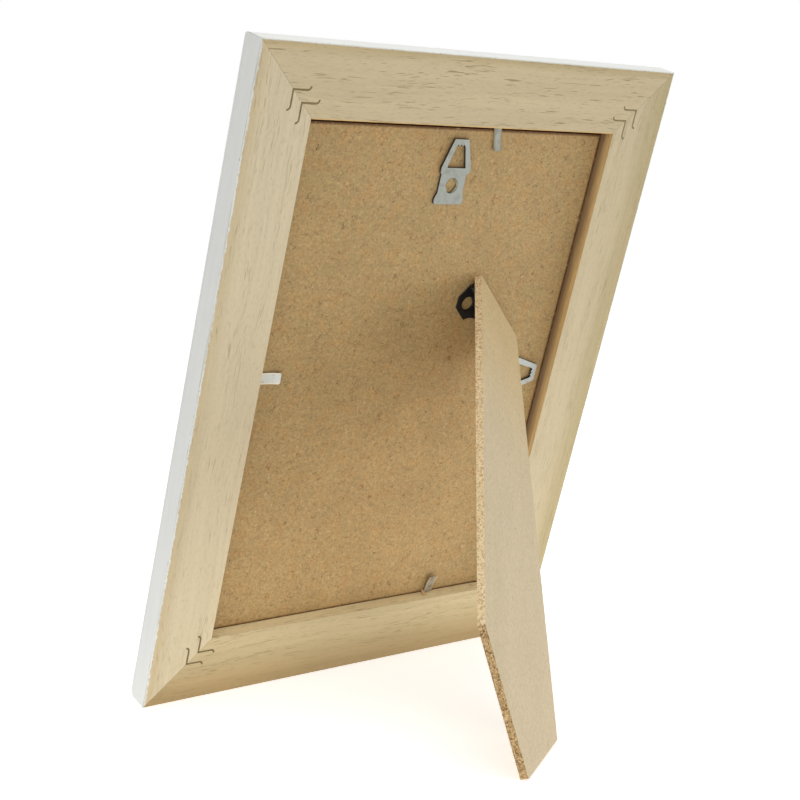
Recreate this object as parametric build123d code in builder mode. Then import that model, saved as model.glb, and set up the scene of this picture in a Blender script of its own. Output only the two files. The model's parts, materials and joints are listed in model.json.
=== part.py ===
from build123d import *
from math import atan, cos, radians, sin, sqrt, tan
import os

os.makedirs("parts", exist_ok=True)

# Easel back photo frame, in millimetres and degrees.
# The frame is described as seen from behind: across runs to the right, up runs along its side,
# and out points away from its back. It leans back on the opened leg.

# Photo that the frame takes, and the slack round it in the rabbet
photo_width = 127.0
photo_height = 178.0
rabbet_slack = 1.0

# Moulding of the four mitred rails
rail_width = 22.6
frame_depth = 14.1
outer_round = 7.8
lip_overlap = 6.0
sight_round = 1.2

# Pieces stacked in the rabbet, from the back inwards
board_recess = 5.0
board_thickness = 2.6
insert_thickness = 0.4
glass_thickness = 2.0
board_side_slack = 0.4
board_top_slack = 2.1

# Wedge nails across the mitres: strips folded at a right angle, with rolled ends
nail_thickness = 0.6
nail_arm = 5.1
nail_curl = 1.2
nail_depth = 7.0
outer_nail_inset = 14.2
inner_nail_inset = 18.1

# Flex tabs that hold the board: each has a root in the rail and a blade that bends at the rabbet wall
tab_width = 4.3
tab_thickness = 0.5
tab_root = 7.0
tab_corner = 0.5
top_tab_length = 9.4
top_tab_across = 16.6
left_tab_length = 11.1
left_tab_rise = 2.6
right_tab_length = 9.8
right_tab_drop = 52.0
bottom_tab_length = 7.2
bottom_tab_across = 33.4
bottom_tab_bend = 9.5

# Stamped hanger plates: a raised sawtooth window above a flat foot
hanger_thickness = 0.8
hanger_raise = 0.4
hanger_length = 22.3
hanger_bar_width = 6.1
hanger_shoulder_width = 12.6
hanger_shoulder_drop = 9.7
hanger_shoulder_height = 1.6
hanger_neck_width = 10.8
hanger_neck_step = 0.7
hanger_foot_width = 12.5
hanger_foot_height = 2.0
hanger_foot_flare = 2.0
hanger_foot_round = 0.9
window_drop = 2.5
window_top_width = 3.8
window_bottom_width = 7.9
window_height = 7.2
tooth_count = 3
tooth_depth = 0.7
hanger_clinch_drop = 15.9
hanger_clinch_radius = 2.55
top_hanger_margin = 5.5
side_hanger_margin = 4.3
side_hanger_drop = 1.7

# Clinch collars, drawn out of the sheet and pressed into the fibreboard
clinch_wall = 0.5
clinch_depth = 1.3
clinch_edge = 0.25

# Easel hinge: two butterfly leaves with rolled knuckles on a pin set diagonally to the frame
hinge_side_margin = 34.2
hinge_rise = 22.2
leaf_width = 30.8
leaf_length = 9.0
leaf_thickness = 0.5
leaf_chamfer_across = 2.6
leaf_chamfer_along = 3.0
scallop_width = 12.8
scallop_depth = 4.3
leaf_hole_spacing = 20.9
leaf_hole_drop = 4.6
leaf_hole_radius = 2.45
knuckle_count = 5
knuckle_gap = 0.15
pin_radius = 0.5
pin_clearance = 0.03
barrel_clearance = 0.2

# Easel leg: measured from the hinge when folded flat, to the left and down
leg_open_angle = 46.5
leg_thickness = 2.6
leg_head_width = 33.7
leg_stop_clearance = 0.1
tip_reach = 96.5
foot_width = 37.4
kink_reach = 99.1
kink_height = 48.6
tip_round = 0.6

# Cuts run this far past the faces that they open
overrun = 1.0

# Sizes that follow from those above
opening_width = photo_width + 2 * rabbet_slack
opening_height = photo_height + 2 * rabbet_slack
frame_width = opening_width + 2 * rail_width
frame_height = opening_height + 2 * rail_width
rabbet_depth = board_recess + board_thickness + insert_thickness + glass_thickness
board_width = opening_width - 2 * board_side_slack
board_height = opening_height - board_top_slack
knuckle_radius = pin_radius + pin_clearance + leaf_thickness
pin_height = knuckle_radius + barrel_clearance
hinge_depth = pin_height - board_recess
hinge_across = opening_width / 2 - hinge_side_margin
hinge_up = frame_height / 2 + hinge_rise

# The diagonal hinge sets the lean at which the foot edge lies flat on the floor
open_turn = radians(leg_open_angle)
lean = atan(tan(open_turn / 2) / sqrt(2))
leg_head_overhang = (pin_height + pin_height * cos(open_turn) - leg_stop_clearance) / sin(open_turn)
foot_lift = tan(lean) * (hinge_depth + pin_height * cos(open_turn))
foot_drop = hinge_up + pin_height * sin(open_turn) / sqrt(2) - foot_lift


def strut_point(across, down):
    """Turn a place measured along the folded frame into the leg's own diagonal axes."""
    return ((across + down) / sqrt(2), (across - down) / sqrt(2))


head_left = (-leg_head_width / 2, leg_head_overhang)
head_right = (leg_head_width / 2, leg_head_overhang)
foot_corner = strut_point(foot_width - tip_reach, foot_drop)
foot_tip = strut_point(-tip_reach, foot_drop)
leg_kink = strut_point(-kink_reach, foot_drop - kink_height)

# Directions of the leaning frame
across_way = Vector(-1, 0, 0)
up_way = Vector(0, sin(lean), cos(lean))
out_way = Vector(0, cos(lean), -sin(lean))

# The hinge runs down to the right at 45 degrees, and the leg turns out about it
pin_way = (across_way - up_way) * (1 / sqrt(2))
fold_way = (across_way + up_way) * (-1 / sqrt(2))
leg_way = fold_way * cos(open_turn) + out_way * sin(open_turn)
leg_out_way = out_way * cos(open_turn) - fold_way * sin(open_turn)

# The origin lies on the floor, midway between the front of the bottom rail and the leg's tip
pin_from_edge = across_way * hinge_across + up_way * hinge_up + out_way * hinge_depth
tip_from_edge = (
    pin_from_edge
    + pin_way * foot_tip[0]
    - leg_way * foot_tip[1]
    + leg_out_way * (pin_height + leg_thickness)
)
front_reach = outer_round * (1 - sin(lean)) + (frame_depth - outer_round) * cos(lean)
base = Vector(0, (front_reach - tip_from_edge.Y) / 2, 0)
pin_centre = base + pin_from_edge


def spot(across, up, out):
    """A point of the leaning frame, from the middle of its bottom back edge."""
    return base + across_way * across + up_way * up + out_way * out


# Working planes
back = Plane(origin=base, x_dir=across_way, z_dir=out_way)
board_back = back.offset(-board_recess)
insert_back = board_back.offset(-board_thickness)
glass_back = insert_back.offset(-insert_thickness)
leg_inside = Plane(origin=pin_centre + leg_out_way * pin_height, x_dir=pin_way, z_dir=leg_out_way)
barrel = Plane(origin=pin_centre, x_dir=out_way, z_dir=pin_way)
board_leaf_seat = Plane(origin=pin_centre - out_way * pin_height, x_dir=pin_way, z_dir=out_way)
leg_leaf_seat = Plane(origin=leg_inside.origin, x_dir=-pin_way, z_dir=-leg_out_way)

wall_across = opening_width / 2
wall_bottom = rail_width
wall_top = frame_height - rail_width
middle_up = frame_height / 2

top_hanger_seat = Plane(
    origin=spot(0, wall_top - top_hanger_margin, -board_recess),
    x_dir=across_way,
    z_dir=out_way,
)
side_hanger_seat = Plane(
    origin=spot(wall_across - side_hanger_margin, middle_up - side_hanger_drop, -board_recess),
    x_dir=-up_way,
    z_dir=out_way,
)

# Wedge nails: two to a corner, flush with the back, folded along the mitre
corners = {
    "top_left": (-1, 1, across_way),
    "top_right": (1, 1, -up_way),
    "bottom_right": (1, -1, -across_way),
    "bottom_left": (-1, -1, up_way),
}
nails = {}
for corner, (side, level, first_arm) in corners.items():
    for rank, inset in (("outer", outer_nail_inset), ("inner", inner_nail_inset)):
        vertex = spot(
            side * (frame_width / 2 - inset),
            middle_up + level * (middle_up - inset),
            0,
        )
        with BuildPart() as nail:
            with BuildSketch(Plane(origin=vertex, x_dir=first_arm, z_dir=-out_way)):
                with BuildLine():
                    half = nail_thickness / 2
                    fold_out = (-half, -half)
                    fold_in = (half, half)
                    Polyline((nail_arm, half), fold_in, fold_out, (nail_arm, -half))
                    CenterArc((nail_arm, -nail_curl), nail_curl - half, 90, -90)
                    curl_end = nail_arm + nail_curl
                    Line((curl_end - half, -nail_curl), (curl_end + half, -nail_curl))
                    CenterArc((nail_arm, -nail_curl), nail_curl + half, 90, -90)
                make_face()
                mirror(about=Plane(origin=(0, 0, 0), x_dir=(0, 0, 1), z_dir=(1, -1, 0)))
            extrude(amount=nail_depth)
        name = f"{corner}_{rank}_nail"
        nail.part.label = name
        export_step(nail.part, f"parts/{name}.step")
        nails[name] = nail.part

# Flex tabs: wall place, direction into the opening, length of the blade and its bend
tabs = {
    "top": (top_tab_across, wall_top, -up_way, top_tab_length, 0),
    "left": (-wall_across, middle_up + left_tab_rise, across_way, left_tab_length, 0),
    "right": (wall_across, middle_up - right_tab_drop, -across_way, right_tab_length, 0),
    "bottom": (bottom_tab_across, wall_bottom, up_way, bottom_tab_length, bottom_tab_bend),
}
tab_roots = {}
for side, (across, up, inward, length, bend) in tabs.items():
    wall_point = spot(across, up, -board_recess)
    with BuildPart() as tab_root_piece:
        with BuildSketch(Plane(origin=wall_point, x_dir=inward, z_dir=out_way)):
            Rectangle(tab_root, tab_width, align=(Align.MAX, Align.CENTER))
        extrude(amount=tab_thickness)
    tab_root_piece.part.label = f"{side}_tab_root"
    export_step(tab_root_piece.part, f"parts/{side}_tab_root.step")
    tab_roots[side] = tab_root_piece.part

    # The blade bends about the outer edge of the strip, where it leaves the wall
    bend_line = wall_point + out_way * tab_thickness
    blade_way = inward * cos(radians(bend)) + out_way * sin(radians(bend))
    blade_face = out_way * cos(radians(bend)) - inward * sin(radians(bend))
    with BuildPart() as tab_blade:
        with BuildSketch(Plane(origin=bend_line, x_dir=blade_way, z_dir=blade_face)) as blade_outline:
            Rectangle(length, tab_width, align=(Align.MIN, Align.CENTER))
            fillet(blade_outline.vertices().group_by(Axis.X)[-1], tab_corner)
        extrude(amount=-tab_thickness)
    tab_blade.part.label = f"{side}_tab"
    export_step(tab_blade.part, f"parts/{side}_tab.step")

# Rails: one moulding section, mitred at both ends, with slots for the nails and the tab root
rails = {
    "top": (spot(0, frame_height, 0), -up_way, frame_width),
    "bottom": (spot(0, 0, 0), up_way, frame_width),
    "left": (spot(-frame_width / 2, middle_up, 0), across_way, frame_height),
    "right": (spot(frame_width / 2, middle_up, 0), -across_way, frame_height),
}
sight_edge = rail_width + lip_overlap
for side, (outer_middle, inward, length) in rails.items():
    along = inward.cross(out_way)
    with BuildPart() as rail:
        with BuildSketch(Plane(origin=outer_middle, x_dir=inward, z_dir=along)):
            with BuildLine():
                Polyline(
                    (0, outer_round - frame_depth),
                    (0, 0),
                    (rail_width, 0),
                    (rail_width, -rabbet_depth),
                    (sight_edge, -rabbet_depth),
                    (sight_edge, sight_round - frame_depth),
                )
                CenterArc((sight_edge - sight_round, sight_round - frame_depth), sight_round, 0, -90)
                Line((sight_edge - sight_round, -frame_depth), (outer_round, -frame_depth))
                CenterArc((outer_round, outer_round - frame_depth), outer_round, 180, 90)
            make_face()
        extrude(amount=length / 2, both=True)
        for end in (along, -along):
            mitre = Plane(origin=outer_middle + end * (length / 2), z_dir=end + inward)
            split(bisect_by=mitre, keep=Keep.BOTTOM)
        for corner in corners:
            if side in corner.split("_"):
                for rank in ("outer", "inner"):
                    add(nails[f"{corner}_{rank}_nail"], mode=Mode.SUBTRACT)
        add(tab_roots[side], mode=Mode.SUBTRACT)
    rail.part.label = f"{side}_rail"
    export_step(rail.part, f"parts/{side}_rail.step")

# Glass, blank insert and fibreboard back, all standing on the bottom rabbet wall
with BuildPart() as glass_pane:
    with BuildSketch(glass_back):
        with Locations((0, wall_bottom)):
            Rectangle(photo_width, photo_height, align=(Align.CENTER, Align.MIN))
    extrude(amount=-glass_thickness)
glass_pane.part.label = "glass_pane"
export_step(glass_pane.part, "parts/glass_pane.step")

with BuildPart() as photo_insert:
    with BuildSketch(insert_back):
        with Locations((0, wall_bottom)):
            Rectangle(photo_width, photo_height, align=(Align.CENTER, Align.MIN))
    extrude(amount=-insert_thickness)
photo_insert.part.label = "photo_insert"
export_step(photo_insert.part, "parts/photo_insert.step")

# Clinch places: one under each hanger plate and two under each hinge leaf
hanger_clinches = [(0, -hanger_clinch_drop)]
leaf_clinches = [(-leaf_hole_spacing / 2, -leaf_hole_drop), (leaf_hole_spacing / 2, -leaf_hole_drop)]

with BuildPart() as backing_board:
    with BuildSketch(board_back):
        with Locations((0, wall_bottom)):
            Rectangle(board_width, board_height, align=(Align.CENTER, Align.MIN))
    extrude(amount=-board_thickness)
    for seat, places, radius in (
        (top_hanger_seat, hanger_clinches, hanger_clinch_radius),
        (side_hanger_seat, hanger_clinches, hanger_clinch_radius),
        (board_leaf_seat, leaf_clinches, leaf_hole_radius),
    ):
        with BuildSketch(seat):
            with Locations(*places):
                Circle(radius + clinch_wall)
            with Locations(*places):
                Circle(radius, mode=Mode.SUBTRACT)
        extrude(amount=-clinch_depth, mode=Mode.SUBTRACT)
backing_board.part.label = "backing_board"
export_step(backing_board.part, "parts/backing_board.step")


def drawn_rims(edges, radius, seat):
    """The outer rims of the drawn holes of one radius in a sheet that lies on a seat."""
    circles = edges.filter_by(GeomType.CIRCLE)
    rings = circles.filter_by(lambda edge: abs(edge.radius - radius) < clinch_wall / 2)
    return rings.group_by(Axis(seat.origin, seat.z_dir))[-1]


# Hanger plates: the side profile carries the raise, and the outline and window are cut through it
neck_drop = hanger_shoulder_drop + hanger_shoulder_height
neck_end = neck_drop + hanger_neck_step
foot_top = hanger_length - hanger_foot_height
waist_end = foot_top - hanger_foot_flare
tooth_pitch = window_top_width / tooth_count
for hanger_name, seat in (("top_hanger", top_hanger_seat), ("side_hanger", side_hanger_seat)):
    with BuildPart() as hanger:
        with BuildSketch(Plane(origin=seat.origin, x_dir=seat.y_dir, z_dir=seat.x_dir)):
            with BuildLine():
                Polyline(
                    (0, hanger_raise),
                    (-neck_drop, hanger_raise),
                    (-neck_end, 0),
                    (-hanger_length, 0),
                    (-hanger_length, hanger_thickness),
                    (-neck_end, hanger_thickness),
                    (-neck_drop, hanger_thickness + hanger_raise),
                    (0, hanger_thickness + hanger_raise),
                    close=True,
                )
            make_face()
        extrude(amount=hanger_shoulder_width, both=True)
        with BuildSketch(seat) as plate_outline:
            with BuildLine():
                right_side = Polyline(
                    (hanger_bar_width / 2, 0),
                    (hanger_shoulder_width / 2, -hanger_shoulder_drop),
                    (hanger_shoulder_width / 2, -neck_drop),
                    (hanger_neck_width / 2, -neck_end),
                    (hanger_neck_width / 2, -waist_end),
                    (hanger_foot_width / 2, -foot_top),
                    (hanger_foot_width / 2, -hanger_length),
                )
                mirror(right_side, about=Plane.YZ)
                Line((-hanger_bar_width / 2, 0), (hanger_bar_width / 2, 0))
                Line((-hanger_foot_width / 2, -hanger_length), (hanger_foot_width / 2, -hanger_length))
            make_face()
            fillet(plate_outline.vertices().group_by(Axis.Y)[0], hanger_foot_round)
        extrude(amount=hanger_thickness + hanger_raise, mode=Mode.INTERSECT)
        with BuildSketch(seat):
            with Locations(*hanger_clinches):
                Circle(hanger_clinch_radius + clinch_wall)
        extrude(amount=-clinch_depth)
        with BuildSketch(seat.offset(-clinch_depth)):
            with Locations(*hanger_clinches):
                Circle(hanger_clinch_radius)
        extrude(amount=clinch_depth + hanger_thickness, mode=Mode.SUBTRACT)
        with BuildSketch(seat):
            with BuildLine():
                Polyline(
                    (-window_top_width / 2, -window_drop),
                    (-window_bottom_width / 2, -window_drop - window_height),
                    (window_bottom_width / 2, -window_drop - window_height),
                    (window_top_width / 2, -window_drop),
                    close=True,
                )
            make_face()
            for tooth in range(tooth_count):
                with BuildLine():
                    notch_left = -window_top_width / 2 + tooth * tooth_pitch
                    Polyline(
                        (notch_left, -window_drop),
                        (notch_left + tooth_pitch / 2, -window_drop + tooth_depth),
                        (notch_left + tooth_pitch, -window_drop),
                        close=True,
                    )
                make_face()
        extrude(amount=hanger_thickness + hanger_raise, mode=Mode.SUBTRACT)
        fillet(drawn_rims(hanger.edges(), hanger_clinch_radius, seat), clinch_edge)
    hanger.part.label = hanger_name
    export_step(hanger.part, f"parts/{hanger_name}.step")

# Hinge leaves: alternate knuckles on the same barrel, so that the two leaves interlock
knuckle_pitch = leaf_width / knuckle_count
for leaf_name, seat, cut_knuckles in (
    ("hinge_board_leaf", board_leaf_seat, range(1, knuckle_count, 2)),
    ("hinge_leg_leaf", leg_leaf_seat, range(0, knuckle_count, 2)),
):
    with BuildPart() as leaf:
        with BuildSketch(seat):
            with BuildLine():
                half = leaf_width / 2
                leaf_end = (scallop_width / 2, -leaf_length)
                Polyline(
                    (-scallop_width / 2, -leaf_length),
                    (leaf_chamfer_across - half, -leaf_length),
                    (-half, leaf_chamfer_along - leaf_length),
                    (-half, 0),
                    (half, 0),
                    (half, leaf_chamfer_along - leaf_length),
                    (half - leaf_chamfer_across, -leaf_length),
                    leaf_end,
                )
                ThreePointArc(leaf_end, (0, scallop_depth - leaf_length), (-scallop_width / 2, -leaf_length))
            make_face()
        extrude(amount=leaf_thickness)
        with BuildSketch(barrel):
            Circle(knuckle_radius)
        extrude(amount=leaf_width / 2, both=True)
        with BuildSketch(seat):
            for knuckle in cut_knuckles:
                with Locations(((knuckle + 1 / 2) * knuckle_pitch - leaf_width / 2, 0)):
                    Rectangle(knuckle_pitch + 2 * knuckle_gap, 2 * (knuckle_radius + knuckle_gap))
        extrude(amount=pin_height + knuckle_radius + overrun, mode=Mode.SUBTRACT)
        with BuildSketch(barrel):
            Circle(pin_radius + pin_clearance)
        extrude(amount=leaf_width / 2 + overrun, both=True, mode=Mode.SUBTRACT)
        with BuildSketch(seat):
            with Locations(*leaf_clinches):
                Circle(leaf_hole_radius + clinch_wall)
        extrude(amount=-clinch_depth)
        with BuildSketch(seat.offset(-clinch_depth)):
            with Locations(*leaf_clinches):
                Circle(leaf_hole_radius)
        extrude(amount=clinch_depth + leaf_thickness, mode=Mode.SUBTRACT)
        fillet(drawn_rims(leaf.edges(), leaf_hole_radius, seat), clinch_edge)
    leaf.part.label = leaf_name
    export_step(leaf.part, f"parts/{leaf_name}.step")

with BuildPart() as hinge_pin:
    with BuildSketch(barrel):
        Circle(pin_radius)
    extrude(amount=leaf_width / 2, both=True)
hinge_pin.part.label = "hinge_pin"
export_step(hinge_pin.part, "parts/hinge_pin.step")

# Easel leg: fibreboard, cut square to its faces, so that its inner foot edge meets the floor
with BuildPart() as easel_leg:
    with BuildSketch(leg_inside) as leg_outline:
        with BuildLine():
            Polyline(head_left, head_right, foot_corner, foot_tip, leg_kink, close=True)
        make_face()
        fillet(leg_outline.vertices().sort_by_distance(foot_tip)[0], tip_round)
    extrude(amount=leg_thickness)
    with BuildSketch(leg_leaf_seat):
        with Locations(*leaf_clinches):
            Circle(leaf_hole_radius + clinch_wall)
        with Locations(*leaf_clinches):
            Circle(leaf_hole_radius, mode=Mode.SUBTRACT)
    extrude(amount=-clinch_depth, mode=Mode.SUBTRACT)
easel_leg.part.label = "easel_leg"
export_step(easel_leg.part, "parts/easel_leg.step")
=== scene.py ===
"""Looks of an easel back photo frame: mitred rails, fibreboard back and leg, flex tabs, hangers and hinge.

Left, right, top and bottom are as seen from behind. Sizes are in metres, and patterns in millimetres.
"""

import json
import logging
from collections.abc import Callable, Iterable
from dataclasses import dataclass, replace
from enum import Enum
from math import atan2, cos, pi, radians, sin

import bmesh
import bpy
from mathutils import Matrix, Quaternion, Vector, noise


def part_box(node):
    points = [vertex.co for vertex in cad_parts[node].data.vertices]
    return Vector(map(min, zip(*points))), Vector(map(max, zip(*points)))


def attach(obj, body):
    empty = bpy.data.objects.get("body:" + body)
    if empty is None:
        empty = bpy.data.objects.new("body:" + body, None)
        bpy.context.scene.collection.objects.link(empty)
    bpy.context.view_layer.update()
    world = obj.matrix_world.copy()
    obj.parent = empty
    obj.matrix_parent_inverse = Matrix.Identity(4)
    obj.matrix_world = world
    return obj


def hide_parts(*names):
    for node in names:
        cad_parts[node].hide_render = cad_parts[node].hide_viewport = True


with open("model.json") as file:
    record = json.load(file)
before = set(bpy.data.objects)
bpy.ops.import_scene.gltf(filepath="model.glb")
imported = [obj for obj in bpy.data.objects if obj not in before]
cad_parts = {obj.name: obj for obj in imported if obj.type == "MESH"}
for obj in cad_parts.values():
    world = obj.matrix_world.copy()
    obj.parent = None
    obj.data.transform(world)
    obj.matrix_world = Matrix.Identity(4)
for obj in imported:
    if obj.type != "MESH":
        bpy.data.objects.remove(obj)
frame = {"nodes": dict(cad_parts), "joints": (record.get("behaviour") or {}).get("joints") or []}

log = logging.getLogger("photo_frame")

Colour = tuple[float, float, float, float]
Range = tuple[float, float]
Triple = tuple[float, float, float]
Socket = bpy.types.NodeSocket
Axes = tuple[Socket, Socket, Socket]
Feed = Socket | float | tuple
MeshPart = bmesh.types.BMVert | bmesh.types.BMEdge | bmesh.types.BMFace

MM = 0.001
PATTERN_SCALE = 1000.0

# Curve of a screen's colour channels
SCREEN_FULL = 255
SCREEN_DARK = 0.04045
SCREEN_DARK_SLOPE = 12.92
SCREEN_SHIFT = 0.055
SCREEN_POWER = 2.4

# Patterns: a noise's middle and finest detail, the whole of a mask, and how far a seed moves a pattern
NOISE_MIDDLE = 0.5
FINE_DETAIL = 3.0
WHOLE = (0.0, 1.0)
SEED_DRIFT = (41.0, 17.0, 29.0)

# Inputs of a mix node, by what it mixes
FIRST_VALUE, SECOND_VALUE = 2, 3
FIRST_COLOUR, SECOND_COLOUR = 6, 7

# Meshes: angles in degrees, and the share of a face's turn at which it counts as a sheet's edge
EASED_SEGMENTS = 2
MERGE_GAP = 0.002 * MM
FLAT_ANGLE = 0.5
EASED_ANGLE = 50
SOFT_ANGLE = 60
EDGE_TURN = 0.5
ROUND_PROFILE = 0.5
KEEP_MATERIAL = -1
ORDER_GRID = 0.0013 * MM

WHITE = (1.0, 1.0, 1.0, 1.0)


def tint(red: int, green: int, blue: int) -> Colour:
    """Turn a colour of 0 to 255 a channel into scene-linear light.

    Args:
        red: Red as a screen shows it.
        green: Green as a screen shows it.
        blue: Blue as a screen shows it.

    Returns:
        The linear colour with full alpha.
    """
    shares = [channel / SCREEN_FULL for channel in (red, green, blue)]
    linear = [
        share / SCREEN_DARK_SLOPE if share <= SCREEN_DARK
        else ((share + SCREEN_SHIFT) / (1 + SCREEN_SHIFT)) ** SCREEN_POWER
        for share in shares
    ]
    return (*linear, 1.0)


class Side(Enum):
    """The four sides of the frame."""

    TOP = "top"
    BOTTOM = "bottom"
    LEFT = "left"
    RIGHT = "right"


class Slot(Enum):
    """Finishes of the part's record that pieces take."""

    RAIL = "rail_wood"
    BOARD = "fibreboard"
    LEG = "pale_fibreboard"
    ZINC = "zinc_steel"
    BLACK = "black_steel"


def joint_named(name: str) -> dict:
    """The record's joint of that name."""
    return next(joint for joint in frame["joints"] if joint["name"] == name)


def seat(origin: Vector, x_way: Vector, z_way: Vector) -> Matrix:
    """Lay axes at a place.

    Args:
        origin: Where the axes meet.
        x_way: Direction of the first axis.
        z_way: Direction of the third axis, square to the first.

    Returns:
        The matrix that takes the place's own coordinates to the shared frame.
    """
    y_way = z_way.cross(x_way)
    return Matrix.Translation(origin) @ Matrix((x_way, y_way, z_way)).transposed().to_4x4()


@dataclass(frozen=True)
class Stance:
    """How the frame leans: the middle of its bottom back edge, its own directions and its outer size."""

    base: Vector
    across: Vector
    up: Vector
    out: Vector
    width: float
    height: float

    @classmethod
    def read(cls) -> "Stance":
        """Work the stance out from the fold joint and the rails.

        Returns:
            The frame's stance.
        """
        diagonal = Vector(joint_named("leg_fold")["axis"])
        across = Vector((-1, 0, 0))
        up = Vector((0, -diagonal.y, -diagonal.z)).normalized()
        lowest = min((vert.co for vert in frame["nodes"]["bottom_rail"].data.vertices), key=lambda co: co.z)
        base = Vector((0, lowest.y, lowest.z))
        left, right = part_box("top_rail")
        reach = max((vert.co - base).dot(up) for vert in frame["nodes"]["top_rail"].data.vertices)
        return cls(base, across, up, across.cross(up), right.x - left.x, reach)

    def spot(self, across: float, up: float, out: float) -> Vector:
        """A point of the leaning frame, from the middle of its bottom back edge."""
        return self.base + self.across * across + self.up * up + self.out * out

    def axes(self) -> Matrix:
        """The frame's own axes, with X across it and Z out behind."""
        return seat(self.base, self.across, self.out)


class Graph:
    """Short calls that lay out the nodes of one tree."""

    def __init__(self, tree: bpy.types.NodeTree) -> None:
        """Start on a tree."""
        self.tree = tree

    def feed(self, socket: Socket, value: Feed) -> None:
        """Link a socket into an input, or set the input to a constant.

        Args:
            socket: The input.
            value: The output to link, or the constant.
        """
        if isinstance(value, bpy.types.NodeSocket):
            self.tree.links.new(value, socket)
        else:
            socket.default_value = value

    def node(self, kind: str, inputs: dict | None = None, **settings: object) -> bpy.types.Node:
        """Add a node.

        Args:
            kind: The node's type without its ShaderNode prefix.
            inputs: Links and constants by input name or number.
            settings: Properties of the node itself.

        Returns:
            The new node.
        """
        made = self.tree.nodes.new(f"ShaderNode{kind}")
        for name, value in settings.items():
            setattr(made, name, value)
        for key, value in (inputs or {}).items():
            self.feed(made.inputs[key], value)
        return made

    def math(self, operation: str, *values: Feed) -> Socket:
        """One arithmetic step on up to three values."""
        return self.node("Math", dict(enumerate(values)), operation=operation).outputs[0]

    def shift(self, vector: Socket, step: Feed) -> Socket:
        """Add a vector to a vector."""
        return self.node("VectorMath", {0: vector, 1: step}, operation="ADD").outputs[0]

    def stretch(self, vector: Socket, along: float, across: float) -> Socket:
        """Divide a place by a pattern's length along and across its grain."""
        shares = (1 / along, 1 / across, 1 / across)
        return self.node("VectorMath", {0: vector, 1: shares}, operation="MULTIPLY").outputs[0]

    def noise(self, vector: Socket, size: float = 1.0, detail: float = 2.0, rough: float = 0.5) -> Socket:
        """Cloudy noise about its middle with features of a given size."""
        inputs = {"Vector": vector, "Scale": 1 / size, "Detail": detail, "Roughness": rough}
        return self.node("TexNoise", inputs).outputs["Fac"]

    def cells(self, vector: Socket, size: float) -> tuple[Socket, Socket]:
        """Distance to the nearest scattered point, and a random value of that point."""
        made = self.node("TexVoronoi", {"Vector": vector, "Scale": 1 / size})
        return made.outputs["Distance"], self.node("SeparateColor", {0: made.outputs["Color"]}).outputs[0]

    def step(self, value: Socket, start: Feed, end: Feed) -> Socket:
        """Rise softly from 0 at start to 1 at end, or fall where end is the lower one."""
        inputs = {"Value": value, "From Min": start, "From Max": end}
        return self.node("MapRange", inputs, interpolation_type="SMOOTHSTEP").outputs["Result"]

    def span(self, value: Socket, low: float, high: float) -> Socket:
        """Take a value of 0 to 1 onto a range."""
        return self.node("MapRange", {"Value": value, "To Min": low, "To Max": high}).outputs["Result"]

    def around(self, value: Socket, middle: float, spread: float) -> Socket:
        """Take a value of 0 to 1 onto a range about a middle."""
        return self.span(value, middle - spread, middle + spread)

    def mix(self, factor: Feed, first: Feed, second: Feed) -> Socket:
        """Mix two colours."""
        inputs = {0: factor, FIRST_COLOUR: first, SECOND_COLOUR: second}
        return self.node("Mix", inputs, data_type="RGBA").outputs[2]

    def scaled(self, colour: Feed, level: Socket) -> Socket:
        """Brighten or darken a colour by a level about 1."""
        vector = colour[:3] if isinstance(colour, tuple) else colour
        return self.node("VectorMath", {0: vector, "Scale": level}, operation="SCALE").outputs[0]

    def blend(self, factor: Socket, first: Feed, second: Feed) -> Socket:
        """Mix two values."""
        inputs = {0: factor, FIRST_VALUE: first, SECOND_VALUE: second}
        return self.node("Mix", inputs, data_type="FLOAT").outputs[0]

    def warp(self, vector: Socket, size: float, amount: float) -> Socket:
        """Bend a place by noise, so that what lies on it turns uneven.

        Args:
            vector: The place.
            size: Size of the noise.
            amount: How far it moves the place.

        Returns:
            The bent place.
        """
        swirl = self.node("TexNoise", {"Vector": vector, "Scale": 1 / size, "Detail": 1.0}).outputs["Color"]
        centred = self.shift(swirl, (-NOISE_MIDDLE, -NOISE_MIDDLE, -NOISE_MIDDLE))
        spread = self.node("VectorMath", {0: centred, "Scale": amount}, operation="SCALE").outputs[0]
        return self.shift(vector, spread)

    def thread(self, swirl: Socket, width: Range, shown: Socket) -> Socket:
        """Thin curls along the middle of a noise, which show in parts only."""
        off = self.math("ABSOLUTE", self.math("SUBTRACT", swirl, NOISE_MIDDLE))
        return self.math("MULTIPLY", self.step(off, *width), shown)

    def bump(self, height: Socket, depth: float) -> Socket:
        """A normal roughened by a height of 0 to 1 over a depth in millimetres."""
        return self.node("Bump", {"Height": height, "Distance": depth * MM}).outputs["Normal"]


Layout = Callable[[Graph, Socket], dict[str, Socket]]


def pattern_group(name: str, outputs: Iterable[str], lay: Layout) -> bpy.types.NodeTree:
    """Build a shared pattern as a node group that takes a place in millimetres and a seed.

    Args:
        name: The group's name.
        outputs: Names of the values that it puts out.
        lay: Lays the nodes on a place and gives the socket of each output.

    Returns:
        The group's tree.
    """
    tree = bpy.data.node_groups.new(name, "ShaderNodeTree")
    tree.interface.new_socket("Place", in_out="INPUT", socket_type="NodeSocketVector")
    tree.interface.new_socket("Seed", in_out="INPUT", socket_type="NodeSocketFloat")
    for output in outputs:
        tree.interface.new_socket(output, in_out="OUTPUT", socket_type="NodeSocketFloat")
    graph = Graph(tree)
    entry = tree.nodes.new("NodeGroupInput")
    leave = tree.nodes.new("NodeGroupOutput")
    drift = graph.node("VectorMath", {0: SEED_DRIFT, "Scale": entry.outputs["Seed"]}, operation="SCALE")
    moved = graph.shift(entry.outputs["Place"], drift.outputs[0])
    for output, socket in lay(graph, moved).items():
        tree.links.new(socket, leave.inputs[output])
    return tree


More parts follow.
